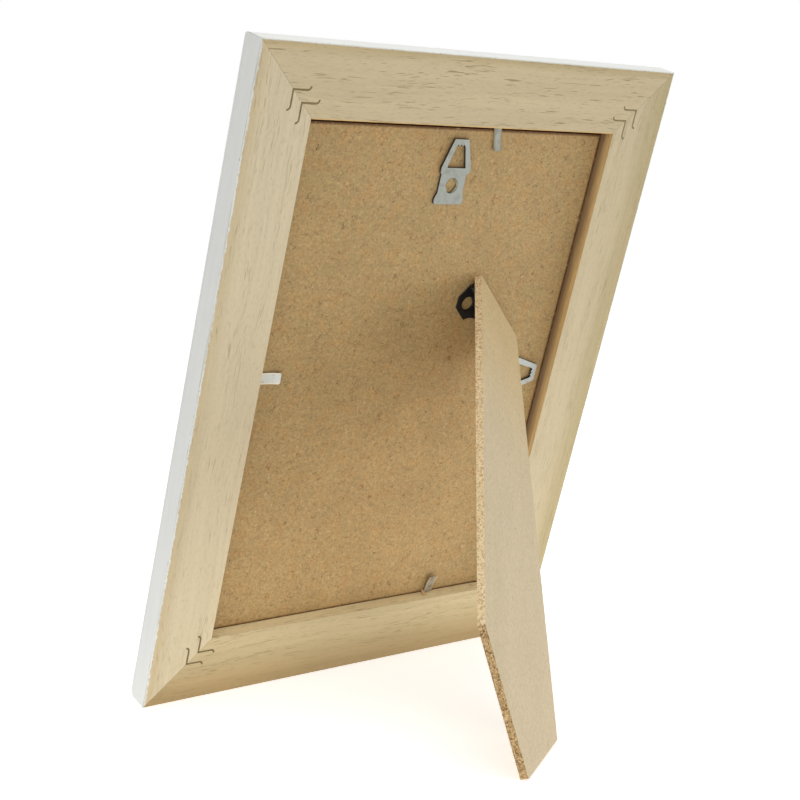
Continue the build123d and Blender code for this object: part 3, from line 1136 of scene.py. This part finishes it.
@dataclass
class Moulding:
    """The four mitred rails with their slots, and the nails across the mitres."""

    stance: Stance
    width: float = 22.6 * MM
    depth: float = 14.1 * MM
    rabbet: float = 10.0 * MM
    lip: float = 6.0 * MM
    top_extra: float = 0.35 * MM
    outer_round: float = 7.8 * MM
    outer_segments: int = 18
    sight_round: float = 1.2 * MM
    sight_segments: int = 6
    eased: float = 0.18 * MM
    eased_segments: int = 3
    lip_segments: int = 2
    mitre_gap: float = 0.03 * MM
    slot_room: float = 0.03 * MM
    corner_room: float = 0.03 * MM
    smooth_angle: float = 50

    # Splinter: its size, how its tip narrows and thins, its place and way from the bottom tab's bend line
    splinter_size: Triple = (2.4 * MM, 1.7 * MM, 0.5 * MM)
    splinter_cuts: int = 2
    splinter_narrowing: float = 0.5
    splinter_thinning: float = 0.6
    splinter_smoothing: float = 0.3
    splinter_across: float = -2.9 * MM
    splinter_up: float = 0.4 * MM
    splinter_out: float = 1.1 * MM
    splinter_rise: float = 0.38
    splinter_dive: float = 0.92

    FINISHES = {
        Side.TOP: RailFinish(
            inner=tint(205, 188, 152), outer=tint(195, 176, 134), band=4.0, dash=0.75, ends=(0.98, 1.02),
            seed=1.0, waver=0.15,
        ),
        Side.BOTTOM: RailFinish(
            inner=tint(205, 187, 146), outer=tint(174, 149, 104), band=20.0, dash=0.55, ends=(0.99, 1.0),
            seed=2.0, waver=0.2, paint_start=-0.8, sag=0.11,
            # Its wall and corner are painted light, so that the wall reads as bright as the back
            wall=tint(252, 236, 192), corner=tint(250, 230, 182),
        ),
        Side.LEFT: RailFinish(
            inner=tint(217, 202, 169), outer=tint(208, 190, 152), band=6.0, dash=0.45, ends=(0.98, 0.985),
            seed=3.0, waver=0.9, paint_start=0.3,
        ),
        Side.RIGHT: RailFinish(
            # Its level is higher at its foot than at its top: painted light
            inner=tint(209, 193, 158), outer=tint(192, 175, 133), band=14.0, dash=0.40, ends=(1.04, 0.93),
            seed=4.0, waver=0.2,
        ),
    }
    TORN = tint(196, 166, 114)
    NAILS = MetalFinish(
        base=tint(122, 106, 66), worn=tint(90, 78, 46), metallic=0.3, roughness=0.6, seed=5.0
    )

    def place(self, side: Side) -> tuple[Matrix, float]:
        """Find where a rail lies.

        Args:
            side: The rail's side of the frame.

        Returns:
            Its axes, with X along it, Y inward and Z out behind, and its outer length.
        """
        width, height = self.stance.width, self.stance.height
        middles = {
            Side.TOP: (0.0, height, -self.stance.up, width),
            Side.BOTTOM: (0.0, 0.0, self.stance.up, width),
            Side.LEFT: (-width / 2, height / 2, self.stance.across, height),
            Side.RIGHT: (width / 2, height / 2, -self.stance.across, height),
        }
        across, up, inward, length = middles[side]
        along = inward.cross(self.stance.out)
        return seat(self.stance.spot(across, up, 0.0), along, self.stance.out), length

    def section(self, side: Side, length: float) -> bmesh.types.BMesh:
        """Make a straight length of the moulding with its edges rounded, a hair wider at the top.

        Args:
            side: The rail's side of the frame.
            length: Its outer length.

        Returns:
            The moulding along X, before it is mitred.
        """
        shape = bmesh.new()
        wall = self.width + (self.top_extra if side is Side.TOP else 0.0)
        sight = self.width + self.lip
        corners = [
            (0.0, 0.0, self.eased, self.eased_segments),
            (wall, 0.0, self.eased, self.eased_segments),
            (wall, -self.rabbet, 0.0, 0),
            (sight, -self.rabbet, self.eased, self.lip_segments),
            (sight, -self.depth, self.sight_round, self.sight_segments),
            (0.0, -self.depth, self.outer_round, self.outer_segments),
        ]
        profile = shape.faces.new([shape.verts.new((-length / 2, y, z)) for y, z, _, _ in corners])
        drawn = bmesh.ops.extrude_face_region(shape, geom=[profile])["geom"]
        bmesh.ops.translate(shape, verts=drawn_verts(drawn), vec=(length, 0, 0))
        bmesh.ops.recalc_face_normals(shape, faces=shape.faces[:])
        for y, z, radius, segments in corners:
            if segments:
                shape = settled(shape)
                self.round_edge(shape, Vector((y, z)), radius, segments)
        return settled(shape)

    def round_edge(self, shape: bmesh.types.BMesh, corner: Vector, radius: float, segments: int) -> None:
        """Round the long edge that runs through one corner of the section.

        Args:
            shape: The moulding along X.
            corner: The corner's Y and Z.
            radius: Radius of the rounding.
            segments: Faces across it.
        """
        edges = [
            edge for edge in shape.edges
            if all((vert.co.yz - corner).length < self.corner_room for vert in edge.verts)
        ]
        bmesh.ops.bevel(
            shape, geom=edges, offset=radius, offset_type="OFFSET", affect="EDGES",
            segments=segments, profile=ROUND_PROFILE, material=KEEP_MATERIAL, clamp_overlap=True,
        )

    def mitre(self, shape: bmesh.types.BMesh, length: float) -> None:
        """Cut both ends at 45 degrees, a hair short of the true mitre.

        Args:
            shape: The moulding along X.
            length: Its outer length.
        """
        for end in (1, -1):
            normal = Vector((end, 1, 0)).normalized()
            point = Vector((end * length / 2, 0, 0)) - normal * self.mitre_gap
            bmesh.ops.bisect_plane(
                shape, geom=whole(shape), plane_co=point, plane_no=normal, clear_outer=True
            )
            rim = [edge for edge in shape.edges if edge.is_boundary]
            bmesh.ops.holes_fill(shape, edges=rim, sides=0)
        bmesh.ops.recalc_face_normals(shape, faces=shape.faces[:])

    def slot_cutter(self, node: str) -> bmesh.types.BMesh:
        """Grow a node's shape by the slot's room.

        Args:
            node: The node that sits in the slot.

        Returns:
            The shape of the slot.
        """
        shape = merged_copy(node)
        shape.normal_update()
        grown = [vert.co + vert.normal * vert.calc_shell_factor() * self.slot_room for vert in shape.verts]
        for vert, spot in zip(shape.verts, grown):
            vert.co = spot
        return shape

    def build(self, side: Side) -> bpy.types.Object:
        """Make one rail with its slots.

        Args:
            side: The rail's side of the frame.

        Returns:
            The rail.
        """
        place, length = self.place(side)
        shape = self.section(side, length)
        self.mitre(shape, length)
        bmesh.ops.transform(shape, matrix=place, verts=shape.verts[:])
        name = f"{side.value}_rail_wood"
        finish = self.FINISHES[side].make(name, place, length)
        rail = add_piece(name, settled(shape), "frame", [finish])
        sunk = [node for node in frame["nodes"] if node.endswith("_nail") and side.value in node.split("_")]
        cut(rail, [self.slot_cutter(node) for node in [*sunk, f"{side.value}_tab_root"]])
        smooth_over(rail, self.smooth_angle)
        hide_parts(f"{side.value}_rail")
        return rail

    def splinter(self) -> bpy.types.Object:
        """Make the sliver of wood that the bottom tab raised from the rabbet's wall when it was driven in.

        Returns:
            The sliver.
        """
        shape = bmesh.new()
        bmesh.ops.create_cube(shape, size=1.0, matrix=Matrix.Diagonal((*self.splinter_size, 1.0)))
        bmesh.ops.subdivide_edges(shape, edges=shape.edges[:], cuts=self.splinter_cuts)
        length, _, thickness = self.splinter_size
        for vert in shape.verts:
            share = (vert.co.x + length / 2) / length
            vert.co.y *= 1 - self.splinter_narrowing * share
            vert.co.z = vert.co.z * (1 - self.splinter_thinning * share) + thickness * share * share
        bmesh.ops.smooth_vert(shape, verts=shape.verts[:], factor=self.splinter_smoothing)
        bmesh.ops.recalc_face_normals(shape, faces=shape.faces[:])
        stance = self.stance
        root = Vector(joint_named("bottom_tab_bend")["pos_m"])
        way = (stance.up * self.splinter_rise - stance.out * self.splinter_dive).normalized()
        lift = (stance.up - way * stance.up.dot(way)).normalized()
        root += stance.across * self.splinter_across + stance.up * self.splinter_up
        place = seat(root + stance.out * self.splinter_out, way, lift)
        bmesh.ops.transform(shape, matrix=place, verts=shape.verts[:])
        rail_place, rail_length = self.place(Side.BOTTOM)
        # The splinter's faces take torn wood's colour in place of the bottom wall's painted light
        finish = replace(self.FINISHES[Side.BOTTOM], wall=self.TORN, corner=self.TORN)
        wood = finish.make("splinter_wood", rail_place, rail_length)
        sliver = add_piece("bottom_rail_splinter", shape, "frame", [wood])
        smooth_over(sliver, self.smooth_angle)
        return sliver

    def dress(self) -> None:
        """Finish the nails, which stay as they are."""
        steel = self.NAILS.make("nail_steel", self.stance.axes())
        for node in frame["nodes"]:
            if node.endswith("_nail"):
                dress_node(node, steel)


@dataclass
class Filling:
    """What lies in the rabbet: glass, blank insert and fibreboard back."""

    stance: Stance
    board_edge: float = 0.25 * MM

    BOARD = BoardFinish(
        base=tint(176, 148, 100), pale=tint(208, 182, 134), dark=tint(96, 68, 34),
        cloud=0.16, grain=0.58, specks=0.85, seed=1.0, mottle=0.36, depth=0.025,
    )

    def edges(self) -> tuple[float, float, float, float]:
        """Measure the board.

        Returns:
            Its left, right, low and high rim on the frame's axes, in millimetres.
        """
        spots = [vert.co - self.stance.base for vert in frame["nodes"]["backing_board"].data.vertices]
        across = [spot.dot(self.stance.across) / MM for spot in spots]
        up = [spot.dot(self.stance.up) / MM for spot in spots]
        return min(across), max(across), min(up), max(up)

    def build(self) -> bpy.types.Object:
        """Make the back with eased edges.

        Returns:
            The back.
        """
        finish = replace(self.BOARD, edges=self.edges()).make("fibreboard", self.stance.axes())
        board = add_piece("fibreboard_back", merged_copy("backing_board"), "frame", [finish])
        soften(board, self.board_edge)
        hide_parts("backing_board")
        return board

    def dress(self) -> None:
        """Finish the glass and the insert, which stay as they are."""
        dress_node("glass_pane", GlassFinish().make("clear_glass", self.stance.axes()))
        dress_node("photo_insert", PaperFinish().make("blank_paper", self.stance.axes()))


@dataclass(frozen=True)
class Blade:
    """How one tab was left.

    Its width, the curl of its tip and its slip along the wall are in millimetres, its turn on the board is
    in degrees, and its reach is a share of the node's length.
    """

    finish: MetalFinish
    width: float
    reach: float = 1.0
    curl: float = 0.2
    turn: float = 0.0
    slip: float = 0.0


@dataclass
class Hardware:
    """Zinc hangers and flex tabs, and the black hinge."""

    stance: Stance
    board_recess: float = 5.0 * MM
    plate_edge: float = 0.07 * MM
    leaf_edge: float = 0.05 * MM

    # Tab blades
    tab_thickness: float = 0.5 * MM
    tab_corner: float = 0.7 * MM
    tab_corner_segments: int = 4
    tab_slices: int = 10
    tab_bow: float = 0.06 * MM
    curl_start: float = 0.45
    root_room: float = 0.12 * MM

    # Lips pressed in round the holes of the hangers
    lip_steps: int = 36
    lip_sink: float = 0.12 * MM
    lip_fall: float = 0.25 * MM
    lip_sheet: float = 0.15 * MM
    lip_reach: float = 0.34 * MM
    lip_corners: int = 4
    lip_pinch: float = 0.14 * MM
    lip_lobes: int = 2
    lip_oval: float = 0.10 * MM
    lip_smooth_angle: float = 40

    # The top hanger's zinc is a darker copy of the side hanger's, painting the dimmer reflection it shows
    PLATES = {
        "top_hanger": MetalFinish(
            base=tint(141, 144, 136), worn=tint(127, 129, 120), metallic=0.7, roughness=0.42, seed=1.0
        ),
        "side_hanger": MetalFinish(
            base=tint(176, 179, 173), worn=tint(160, 162, 155), metallic=0.6, roughness=0.42, seed=1.0
        ),
    }
    LEAVES = {"hinge_board_leaf": "frame", "hinge_leg_leaf": "leg"}
    SHEARED = MetalFinish(
        base=tint(58, 49, 36), worn=tint(40, 33, 24), metallic=0.1, roughness=0.7, seed=2.0
    )
    DULL = MetalFinish(
        base=tint(150, 148, 140), worn=tint(118, 112, 100), metallic=0.85, roughness=0.45, seed=3.0
    )
    BLACK = MetalFinish(base=tint(9, 9, 10), worn=tint(4, 4, 5), metallic=0.0, roughness=0.5, seed=4.0)
    LIP = MetalFinish(
        base=tint(150, 147, 130), worn=tint(118, 112, 92), metallic=0.5, roughness=0.5, seed=10.0
    )
    TAB_EDGE = MetalFinish(
        base=tint(172, 156, 128), worn=tint(140, 122, 94), metallic=0.2, roughness=0.6, seed=9.0
    )
    # Copies of one zinc: the top tab's is darker, painting the shade on it, and the left tab's lighter,
    # painting the light on it; the top tab's border paints shade on its rounded edges, and the bottom and
    # left tabs' borders paint highlights
    BLADES = {
        Side.TOP: Blade(
            MetalFinish(
                base=tint(137, 138, 129), worn=tint(116, 115, 103), border_highlight_and_shade=tint(118, 112, 88),
                metallic=0.6, roughness=0.45, seed=5.0, depth=0.04,
            ),
            width=3.2, reach=0.98, curl=0.7, turn=11.0, slip=-1.9,
        ),
        Side.BOTTOM: Blade(
            MetalFinish(
                base=tint(168, 159, 141), worn=tint(136, 123, 101), border_highlight_and_shade=tint(196, 187, 167),
                metallic=0.4, roughness=0.5, seed=6.0, depth=0.04,
            ),
            width=3.6, reach=1.05, curl=0.6,
        ),
        Side.LEFT: Blade(
            MetalFinish(
                base=tint(216, 218, 211), worn=tint(180, 182, 176), border_highlight_and_shade=tint(236, 229, 207),
                metallic=0.4, roughness=0.5, seed=7.0, depth=0.05,
            ),
            width=4.0, reach=0.91, curl=1.1, slip=0.6,
        ),
        Side.RIGHT: Blade(
            MetalFinish(
                base=tint(172, 174, 168), worn=tint(146, 146, 136),
                metallic=0.6, roughness=0.45, seed=8.0, depth=0.04,
            ),
            width=4.3,
        ),
    }

    def plate(self, node: str, materials: list[bpy.types.Material]) -> bpy.types.Object:
        """Copy a hanger plate, with its cut edges, but not its drawn collar, in a material of their own.

        Args:
            node: The hanger's CAD node.
            materials: The face's material and the cut edge's.

        Returns:
            The plate.
        """
        shape = merged_copy(node)
        mark_edges(shape, self.stance.out)
        for part in shape.faces:
            if (part.calc_center_median() - self.stance.base).dot(self.stance.out) < -self.board_recess:
                part.material_index = 0
        plate = add_piece(f"{node}_plate", shape, "frame", materials)
        soften(plate, self.plate_edge)
        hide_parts(node)
        return plate

    def hangers(self) -> list[bpy.types.Object]:
        """Make the two hangers.

        Returns:
            Each plate and the lip in its hole.
        """
        place = self.stance.axes()
        cut_edge = self.SHEARED.make("sheared_edge", place)
        made = []
        for node, finish in self.PLATES.items():
            made.append(self.plate(node, [finish.make(f"{node}_zinc", place), cut_edge]))
            made.append(self.lip(node))
        return made

    def hole(self, node: str) -> tuple[Vector, float]:
        """Measure the hole in a hanger's foot on its drawn collar.

        Args:
            node: The hanger's CAD node.

        Returns:
            The middle of the hole, a little below the plate's face, and its radius.
        """
        out = self.stance.out
        spots = [vert.co - self.stance.base for vert in frame["nodes"][node].data.vertices]
        sunk = [spot for spot in spots if spot.dot(out) < -self.board_recess - self.lip_fall]
        middle = sum(sunk, Vector()) / len(sunk)
        radii = [(spot - middle).cross(out).length for spot in sunk]
        face = max(spot.dot(out) for spot in spots if (spot - middle).cross(out).length < max(radii))
        return self.stance.base + middle + out * (face - middle.dot(out) - self.lip_sink), min(radii)

    def lip(self, node: str) -> bpy.types.Object:
        """Make the lip that was pressed in round a hanger's hole, pinched between its corners.

        Args:
            node: The hanger's CAD node.

        Returns:
            The lip.
        """
        centre, bore = self.hole(node)
        inner = bore - self.lip_reach
        low = self.lip_fall + self.lip_sheet
        shape = bmesh.new()
        profile = [(bore, 0.0), (inner, self.lip_fall), (inner, low), (bore, self.lip_sheet)]
        corners = [shape.verts.new((reach, 0, -fall)) for reach, fall in profile]
        sides = [shape.edges.new((corner, corners[number - 1])) for number, corner in enumerate(corners)]
        bmesh.ops.spin(
            shape, geom=[*corners, *sides], cent=(0, 0, 0), axis=(0, 0, 1), angle=2 * pi,
            steps=self.lip_steps, use_merge=True,
        )
        for vert in shape.verts:
            reach = vert.co.xy.length
            if reach < bore - self.lip_reach / 2:
                turn = atan2(vert.co.y, vert.co.x)
                pinch = self.lip_pinch * cos(self.lip_corners * turn)
                vert.co.xy *= 1 + (pinch - self.lip_oval * cos(self.lip_lobes * turn)) / reach
        bmesh.ops.recalc_face_normals(shape, faces=shape.faces[:])
        place = seat(centre, self.stance.across, self.stance.out)
        bmesh.ops.transform(shape, matrix=place, verts=shape.verts[:])
        finish = self.LIP.make(f"{node}_lip_zinc", place)
        lip = add_piece(f"{node}_lip", settled(shape), "frame", [finish])
        smooth_over(lip, self.lip_smooth_angle)
        return lip

    def hinge(self) -> list[bpy.types.Object]:
        """Make the two hinge leaves, and lacquer the pin.

        Returns:
            The leaves.
        """
        lacquer = self.BLACK.make("black_lacquer", self.stance.axes())
        made = []
        for node, body in self.LEAVES.items():
            leaf = add_piece(f"{node}_steel", merged_copy(node), body, [lacquer])
            soften(leaf, self.leaf_edge)
            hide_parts(node)
            made.append(leaf)
        dress_node("hinge_pin", lacquer)
        return made

    def tab(self, side: Side) -> bpy.types.Object:
        """Make one tab's blade: a strip with rounded corners, bowed a little towards its tip.

        Args:
            side: The tab's side of the frame.

        Returns:
            The blade.
        """
        joint = joint_named(f"{side.value}_tab_bend")
        inward = self.stance.out.cross(Vector(joint["axis"]))
        bend = radians(-joint["range_deg"][0])
        blade_way = inward * cos(bend) + self.stance.out * sin(bend)
        face_way = self.stance.out * cos(bend) - inward * sin(bend)
        root = Vector(joint["pos_m"])
        node = f"{side.value}_tab"
        length = max((vert.co - root).dot(blade_way) for vert in frame["nodes"][node].data.vertices)
        blade = self.BLADES[side]
        slipped = Matrix.Translation((0, blade.slip * MM, 0)) @ Matrix.Rotation(radians(blade.turn), 4, "Z")
        place = seat(root, blade_way, face_way) @ slipped
        shape = self.strip(blade, length * blade.reach)
        bmesh.ops.transform(shape, matrix=place, verts=shape.verts[:])
        mark_edges(shape, face_way)
        materials = [
            replace(blade.finish, half_width=blade.width / 2).make(f"{node}_zinc", place),
            self.TAB_EDGE.make(f"{node}_edge", place),
        ]
        strip = add_piece(f"{node}_blade", settled(shape), node, materials)
        soften(strip, self.plate_edge)
        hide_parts(node)
        return strip

    def strip(self, blade: Blade, length: float) -> bmesh.types.BMesh:
        """Make a thin strip with rounded corners and a curl.

        Args:
            blade: How the tab was left.
            length: The strip's length.

        Returns:
            The strip along X from the bend line, its face at Z 0.
        """
        shape = bmesh.new()
        half = blade.width * MM / 2
        corners = [(0, -half, 0), (length, -half, 0), (length, half, 0), (0, half, 0)]
        shape.faces.new([shape.verts.new(corner) for corner in corners])
        tips = [vert for vert in shape.verts if vert.co.x > length / 2]
        bmesh.ops.bevel(
            shape, geom=tips, offset=self.tab_corner, offset_type="OFFSET", affect="VERTICES",
            segments=self.tab_corner_segments, profile=ROUND_PROFILE, material=KEEP_MATERIAL,
            clamp_overlap=True,
        )
        for number in range(1, self.tab_slices):
            across = Vector((length * number / self.tab_slices, 0, 0))
            bmesh.ops.bisect_plane(shape, geom=whole(shape), plane_co=across, plane_no=(1, 0, 0))
        drawn = bmesh.ops.extrude_face_region(shape, geom=shape.faces[:], use_keep_orig=True)["geom"]
        under = drawn_verts(drawn)
        bmesh.ops.translate(shape, verts=under, vec=(0, 0, -self.tab_thickness))
        bmesh.ops.recalc_face_normals(shape, faces=shape.faces[:])
        for vert in under:
            vert.co.x = max(vert.co.x, self.root_room)
        for vert in shape.verts:
            share = vert.co.x / length
            bow = self.tab_bow * 4 * share * (1 - share)
            bent = max(0.0, share - self.curl_start) / (1 - self.curl_start)
            vert.co.z += bow + blade.curl * MM * bent * bent
        return shape

    def build(self) -> list[bpy.types.Object]:
        """Make all the hardware.

        Returns:
            The hangers, the hinge and the tabs.
        """
        for side in Side:
            dress_node(f"{side.value}_tab_root", self.DULL.make(f"{side.value}_root_zinc", Matrix()))
        return [*self.hangers(), *self.hinge(), *(self.tab(side) for side in Side)]


@dataclass
class EaselLeg:
    """The fibreboard leg, with rough sawn edges."""

    spacing: float = 0.45 * MM
    rows: int = 5
    coarse: float = 0.10 * MM
    coarse_size: float = 3.0 * MM
    fine: float = 0.22 * MM
    fine_size: float = 0.9 * MM
    # Edges whose normal rises less than this take the darker, painted shade copy of the sawn edge
    worn_rise: float = 0.2
    smooth_angle: float = 40

    FACE = LegFinish(
        base=tint(198, 181, 148), pale=tint(220, 206, 176), dark=tint(154, 132, 96),
        cloud=0.08, grain=0.26, specks=0.55, seed=7.0, run=1.4, mottle=0.18,
    )
    # The sawn edge in two copies: a lighter one of painted light for edges that face up, and a darker one of
    # painted shade for edges that face down
    LIT_EDGE = FibreFinish(
        base=tint(239, 213, 167), pale=tint(251, 232, 193), dark=tint(186, 148, 97),
        cloud=0.08, grain=0.26, specks=0.6, seed=8.0, chips=0.75, mottle=0.4, depth=0.14, roughness=0.85,
    )
    SHADED_EDGE = FibreFinish(
        base=tint(181, 149, 102), pale=tint(224, 194, 146), dark=tint(102, 70, 34),
        cloud=0.08, grain=0.26, specks=0.6, seed=9.0, chips=0.85, mottle=0.4, depth=0.14, roughness=0.85,
    )

    def outline(self) -> tuple[list[Vector], Vector, float]:
        """Measure the leg.

        Returns:
            Its outer face as corners in order, the way that the face looks, and the leg's thickness.
        """
        shape = merged_copy("easel_leg")
        face = max(shape.faces, key=lambda part: part.calc_area())
        corners = [vert.co.copy() for vert in face.verts]
        normal = face.normal.copy()
        thickness = max((corners[0] - vert.co).dot(normal) for vert in shape.verts)
        shape.free()
        return corners, normal, thickness

    def slab(self, corners: list[Vector], normal: Vector, thickness: float) -> bmesh.types.BMesh:
        """Draw the outline through the board's thickness, with fine divisions along the sawn edges.

        Args:
            corners: Corners of the outer face, in order.
            normal: Direction that the outer face looks.
            thickness: The board's thickness.

        Returns:
            The leg with smooth edges.
        """
        shape = bmesh.new()
        verts = [shape.verts.new(corner) for corner in corners]
        rim = [shape.edges.new((vert, verts[number - 1])) for number, vert in enumerate(verts)]
        for edge in rim:
            cuts = int(edge.calc_length() / self.spacing)
            if cuts:
                bmesh.ops.subdivide_edges(shape, edges=[edge], cuts=cuts)
        rim = shape.edges[:]
        bmesh.ops.edgeloop_fill(shape, edges=rim)
        for _ in range(self.rows):
            drawn = bmesh.ops.extrude_edge_only(shape, edges=rim)["geom"]
            bmesh.ops.translate(shape, verts=drawn_verts(drawn), vec=normal * (-thickness / self.rows))
            rim = [part for part in drawn if isinstance(part, bmesh.types.BMEdge) and part.is_boundary]
        bmesh.ops.edgeloop_fill(shape, edges=rim)
        bmesh.ops.recalc_face_normals(shape, faces=shape.faces[:])
        return shape

    def roughen(self, shape: bmesh.types.BMesh, normal: Vector) -> None:
        """Eat into the sawn edges with two sizes of noise.

        Args:
            shape: The leg.
            normal: Direction that its outer face looks.
        """
        shape.normal_update()
        moved = []
        for vert in shape.verts:
            away = vert.normal - normal * vert.normal.dot(normal)
            worn = self.coarse * (1 + noise.noise(vert.co / self.coarse_size)) / 2
            worn += self.fine * abs(noise.noise(vert.co / self.fine_size))
            moved.append(vert.co - away.normalized() * worn)
        for vert, spot in zip(shape.verts, moved):
            vert.co = spot

    def build(self) -> bpy.types.Object:
        """Make the leg.

        Returns:
            The leg.
        """
        corners, normal, thickness = self.outline()
        shape = self.slab(corners, normal, thickness)
        self.roughen(shape, normal)
        mark_edges(shape, normal)
        # Edges that face down take the darker copy: painted shade
        for part in shape.faces:
            if part.material_index and part.normal.z < self.worn_rise:
                part.material_index += 1
        hinge = joint_named("leg_fold")
        pin = Vector(hinge["pos_m"])
        down = Vector(hinge["axis"]).cross(normal).normalized()
        if (corners[0] - pin).dot(down) + (corners[-1] - pin).dot(down) < 0:
            down.negate()
        place = seat(pin, down, normal)
        materials = [
            self.FACE.make("leg_face", place),
            self.LIT_EDGE.make("leg_edge_painted_light", place),
            self.SHADED_EDGE.make("leg_edge_painted_shade", place),
        ]
        leg = add_piece("easel_leg_board", settled(shape), "leg", materials)
        leg.data.shade_smooth()
        leg.data.set_sharp_from_angle(angle=radians(self.smooth_angle))
        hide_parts("easel_leg")
        return leg


@dataclass(frozen=True)
class SoftBox:
    """A soft rectangular lamp: its name, place, aim, width, height and power in watts."""

    name: str
    spot: Triple
    aim: Triple
    width: float
    height: float
    power: float

    def hang(self) -> None:
        """Add the lamp to the scene."""
        data = bpy.data.lights.new(self.name, "AREA")
        data.shape = "RECTANGLE"
        data.size = self.width
        data.size_y = self.height
        data.energy = self.power
        lamp = bpy.data.objects.new(self.name, data)
        lamp.location = self.spot
        lamp.rotation_mode = "QUATERNION"
        lamp.rotation_quaternion = (Vector(self.aim) - Vector(self.spot)).to_track_quat("-Z", "Y")
        lamp.visible_camera = False
        bpy.context.scene.collection.objects.link(lamp)


@dataclass
class Studio:
    """White surroundings, a table that glows a little, soft lamps and the camera."""

    stance: Stance
    ambient: float = 0.28
    floor_size: float = 12.0
    floor_colour: Colour = tint(240, 240, 240)
    near_lift: float = 0.55
    far_lift: float = 0.80
    glow: float = 0.73
    glow_reach: Range = (0.42, 0.10)
    glow_centre: Triple = (-0.03, 0.06, 0.0)
    lens: float = 73.89
    sensor: float = 36.0
    roll: float = 1.39
    eye: Triple = (-0.3550, 0.3045, 0.3898)
    target: Triple = (-0.0052, 0.1063, 0.0)

    LAMPS = (
        SoftBox(
            "overhead", spot=(0.0, 0.1, 1.1), aim=(0.0, 0.1, 0.0), width=0.9, height=0.9, power=7.1
        ),
        SoftBox(
            "right_side", spot=(-0.75, 0.26, 0.07), aim=(0.0, 0.0, 0.14), width=0.5, height=0.12, power=1.9
        ),
        SoftBox(
            "left_side", spot=(0.75, 0.25, 0.20), aim=(0.0, 0.0, 0.1), width=0.6, height=0.4, power=1.3
        ),
    )

    def seen_plainly(self, graph: Graph) -> Socket:
        """Tell looking from lighting.

        Args:
            graph: The nodes of a floor or world.

        Returns:
            1 where the camera, gloss or glass looks, and 0 for light that falls on something.
        """
        path = graph.node("LightPath").outputs
        seen = graph.math("MAXIMUM", path["Is Camera Ray"], path["Is Glossy Ray"])
        return graph.math("MAXIMUM", seen, path["Is Transmission Ray"])

    def world(self) -> None:
        """Make the surroundings white where they are seen, and soft light for the rest."""
        world = bpy.data.worlds.new("white_surroundings")
        world.use_nodes = True
        graph = Graph(world.node_tree)
        world.node_tree.nodes.clear()
        soft = graph.node("Background", {"Color": WHITE, "Strength": self.ambient}).outputs[0]
        white = graph.node("Background", {"Color": WHITE, "Strength": 1.0}).outputs[0]
        mixed = graph.node("MixShader", {0: self.seen_plainly(graph), 1: soft, 2: white}).outputs[0]
        graph.node("OutputWorld", {"Surface": mixed})
        bpy.context.scene.world = world

    def floor(self) -> None:
        """Lay a pale floor that keeps the shadow, and runs into the white for whoever looks at it."""
        material = bpy.data.materials.new("pale_floor")
        material.use_nodes = True
        graph = Graph(material.node_tree)
        material.node_tree.nodes.clear()
        ends = {0: graph.node("TexCoord").outputs["Object"], 1: self.glow_centre}
        away = graph.node("VectorMath", ends, operation="DISTANCE").outputs["Value"]
        pool = graph.step(away, *self.glow_reach)
        shown = graph.span(pool, self.far_lift, self.near_lift)
        lift = graph.blend(self.seen_plainly(graph), graph.math("MULTIPLY", pool, self.glow), shown)
        matt = graph.node("BsdfDiffuse", {"Color": self.floor_colour}).outputs[0]
        light = graph.node("Emission", {"Strength": lift}).outputs[0]
        graph.node("OutputMaterial", {"Surface": graph.node("AddShader", {0: matt, 1: light}).outputs[0]})
        shape = bmesh.new()
        bmesh.ops.create_grid(shape, x_segments=1, y_segments=1, size=self.floor_size / 2)
        mesh = bpy.data.meshes.new("floor")
        shape.to_mesh(mesh)
        shape.free()
        mesh.materials.append(material)
        floor = bpy.data.objects.new("floor", mesh)
        bpy.context.scene.collection.objects.link(floor)

    def camera(self) -> None:
        """Stand the camera where the photograph was taken from."""
        data = bpy.data.cameras.new("photo_view")
        data.lens = self.lens
        data.sensor_width = self.sensor
        eye = self.stance.spot(*self.eye)
        look = self.stance.spot(*self.target) - eye
        camera = bpy.data.objects.new("photo_view", data)
        camera.location = eye
        camera.rotation_mode = "QUATERNION"
        tilt = Quaternion((0, 0, 1), radians(self.roll))
        camera.rotation_quaternion = look.to_track_quat("-Z", "Y") @ tilt
        bpy.context.scene.collection.objects.link(camera)
        bpy.context.scene.camera = camera

    def build(self) -> None:
        """Set the stage."""
        self.world()
        self.floor()
        for lamp in self.LAMPS:
            lamp.hang()
        self.camera()
        bpy.context.scene.view_settings.view_transform = "Standard"


def main() -> None:
    """Build and dress the frame, then set the studio round it."""
    logging.basicConfig(level=logging.INFO, format="%(name)s: %(message)s")
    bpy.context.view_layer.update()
    stance = Stance.read()
    moulding = Moulding(stance)
    filling = Filling(stance)
    made = [*(moulding.build(side) for side in Side), moulding.splinter()]
    moulding.dress()
    made.append(filling.build())
    filling.dress()
    made += Hardware(stance).build()
    made.append(EaselLeg().build())
    Studio(stance).build()


if __name__ == "__main__":
    main()
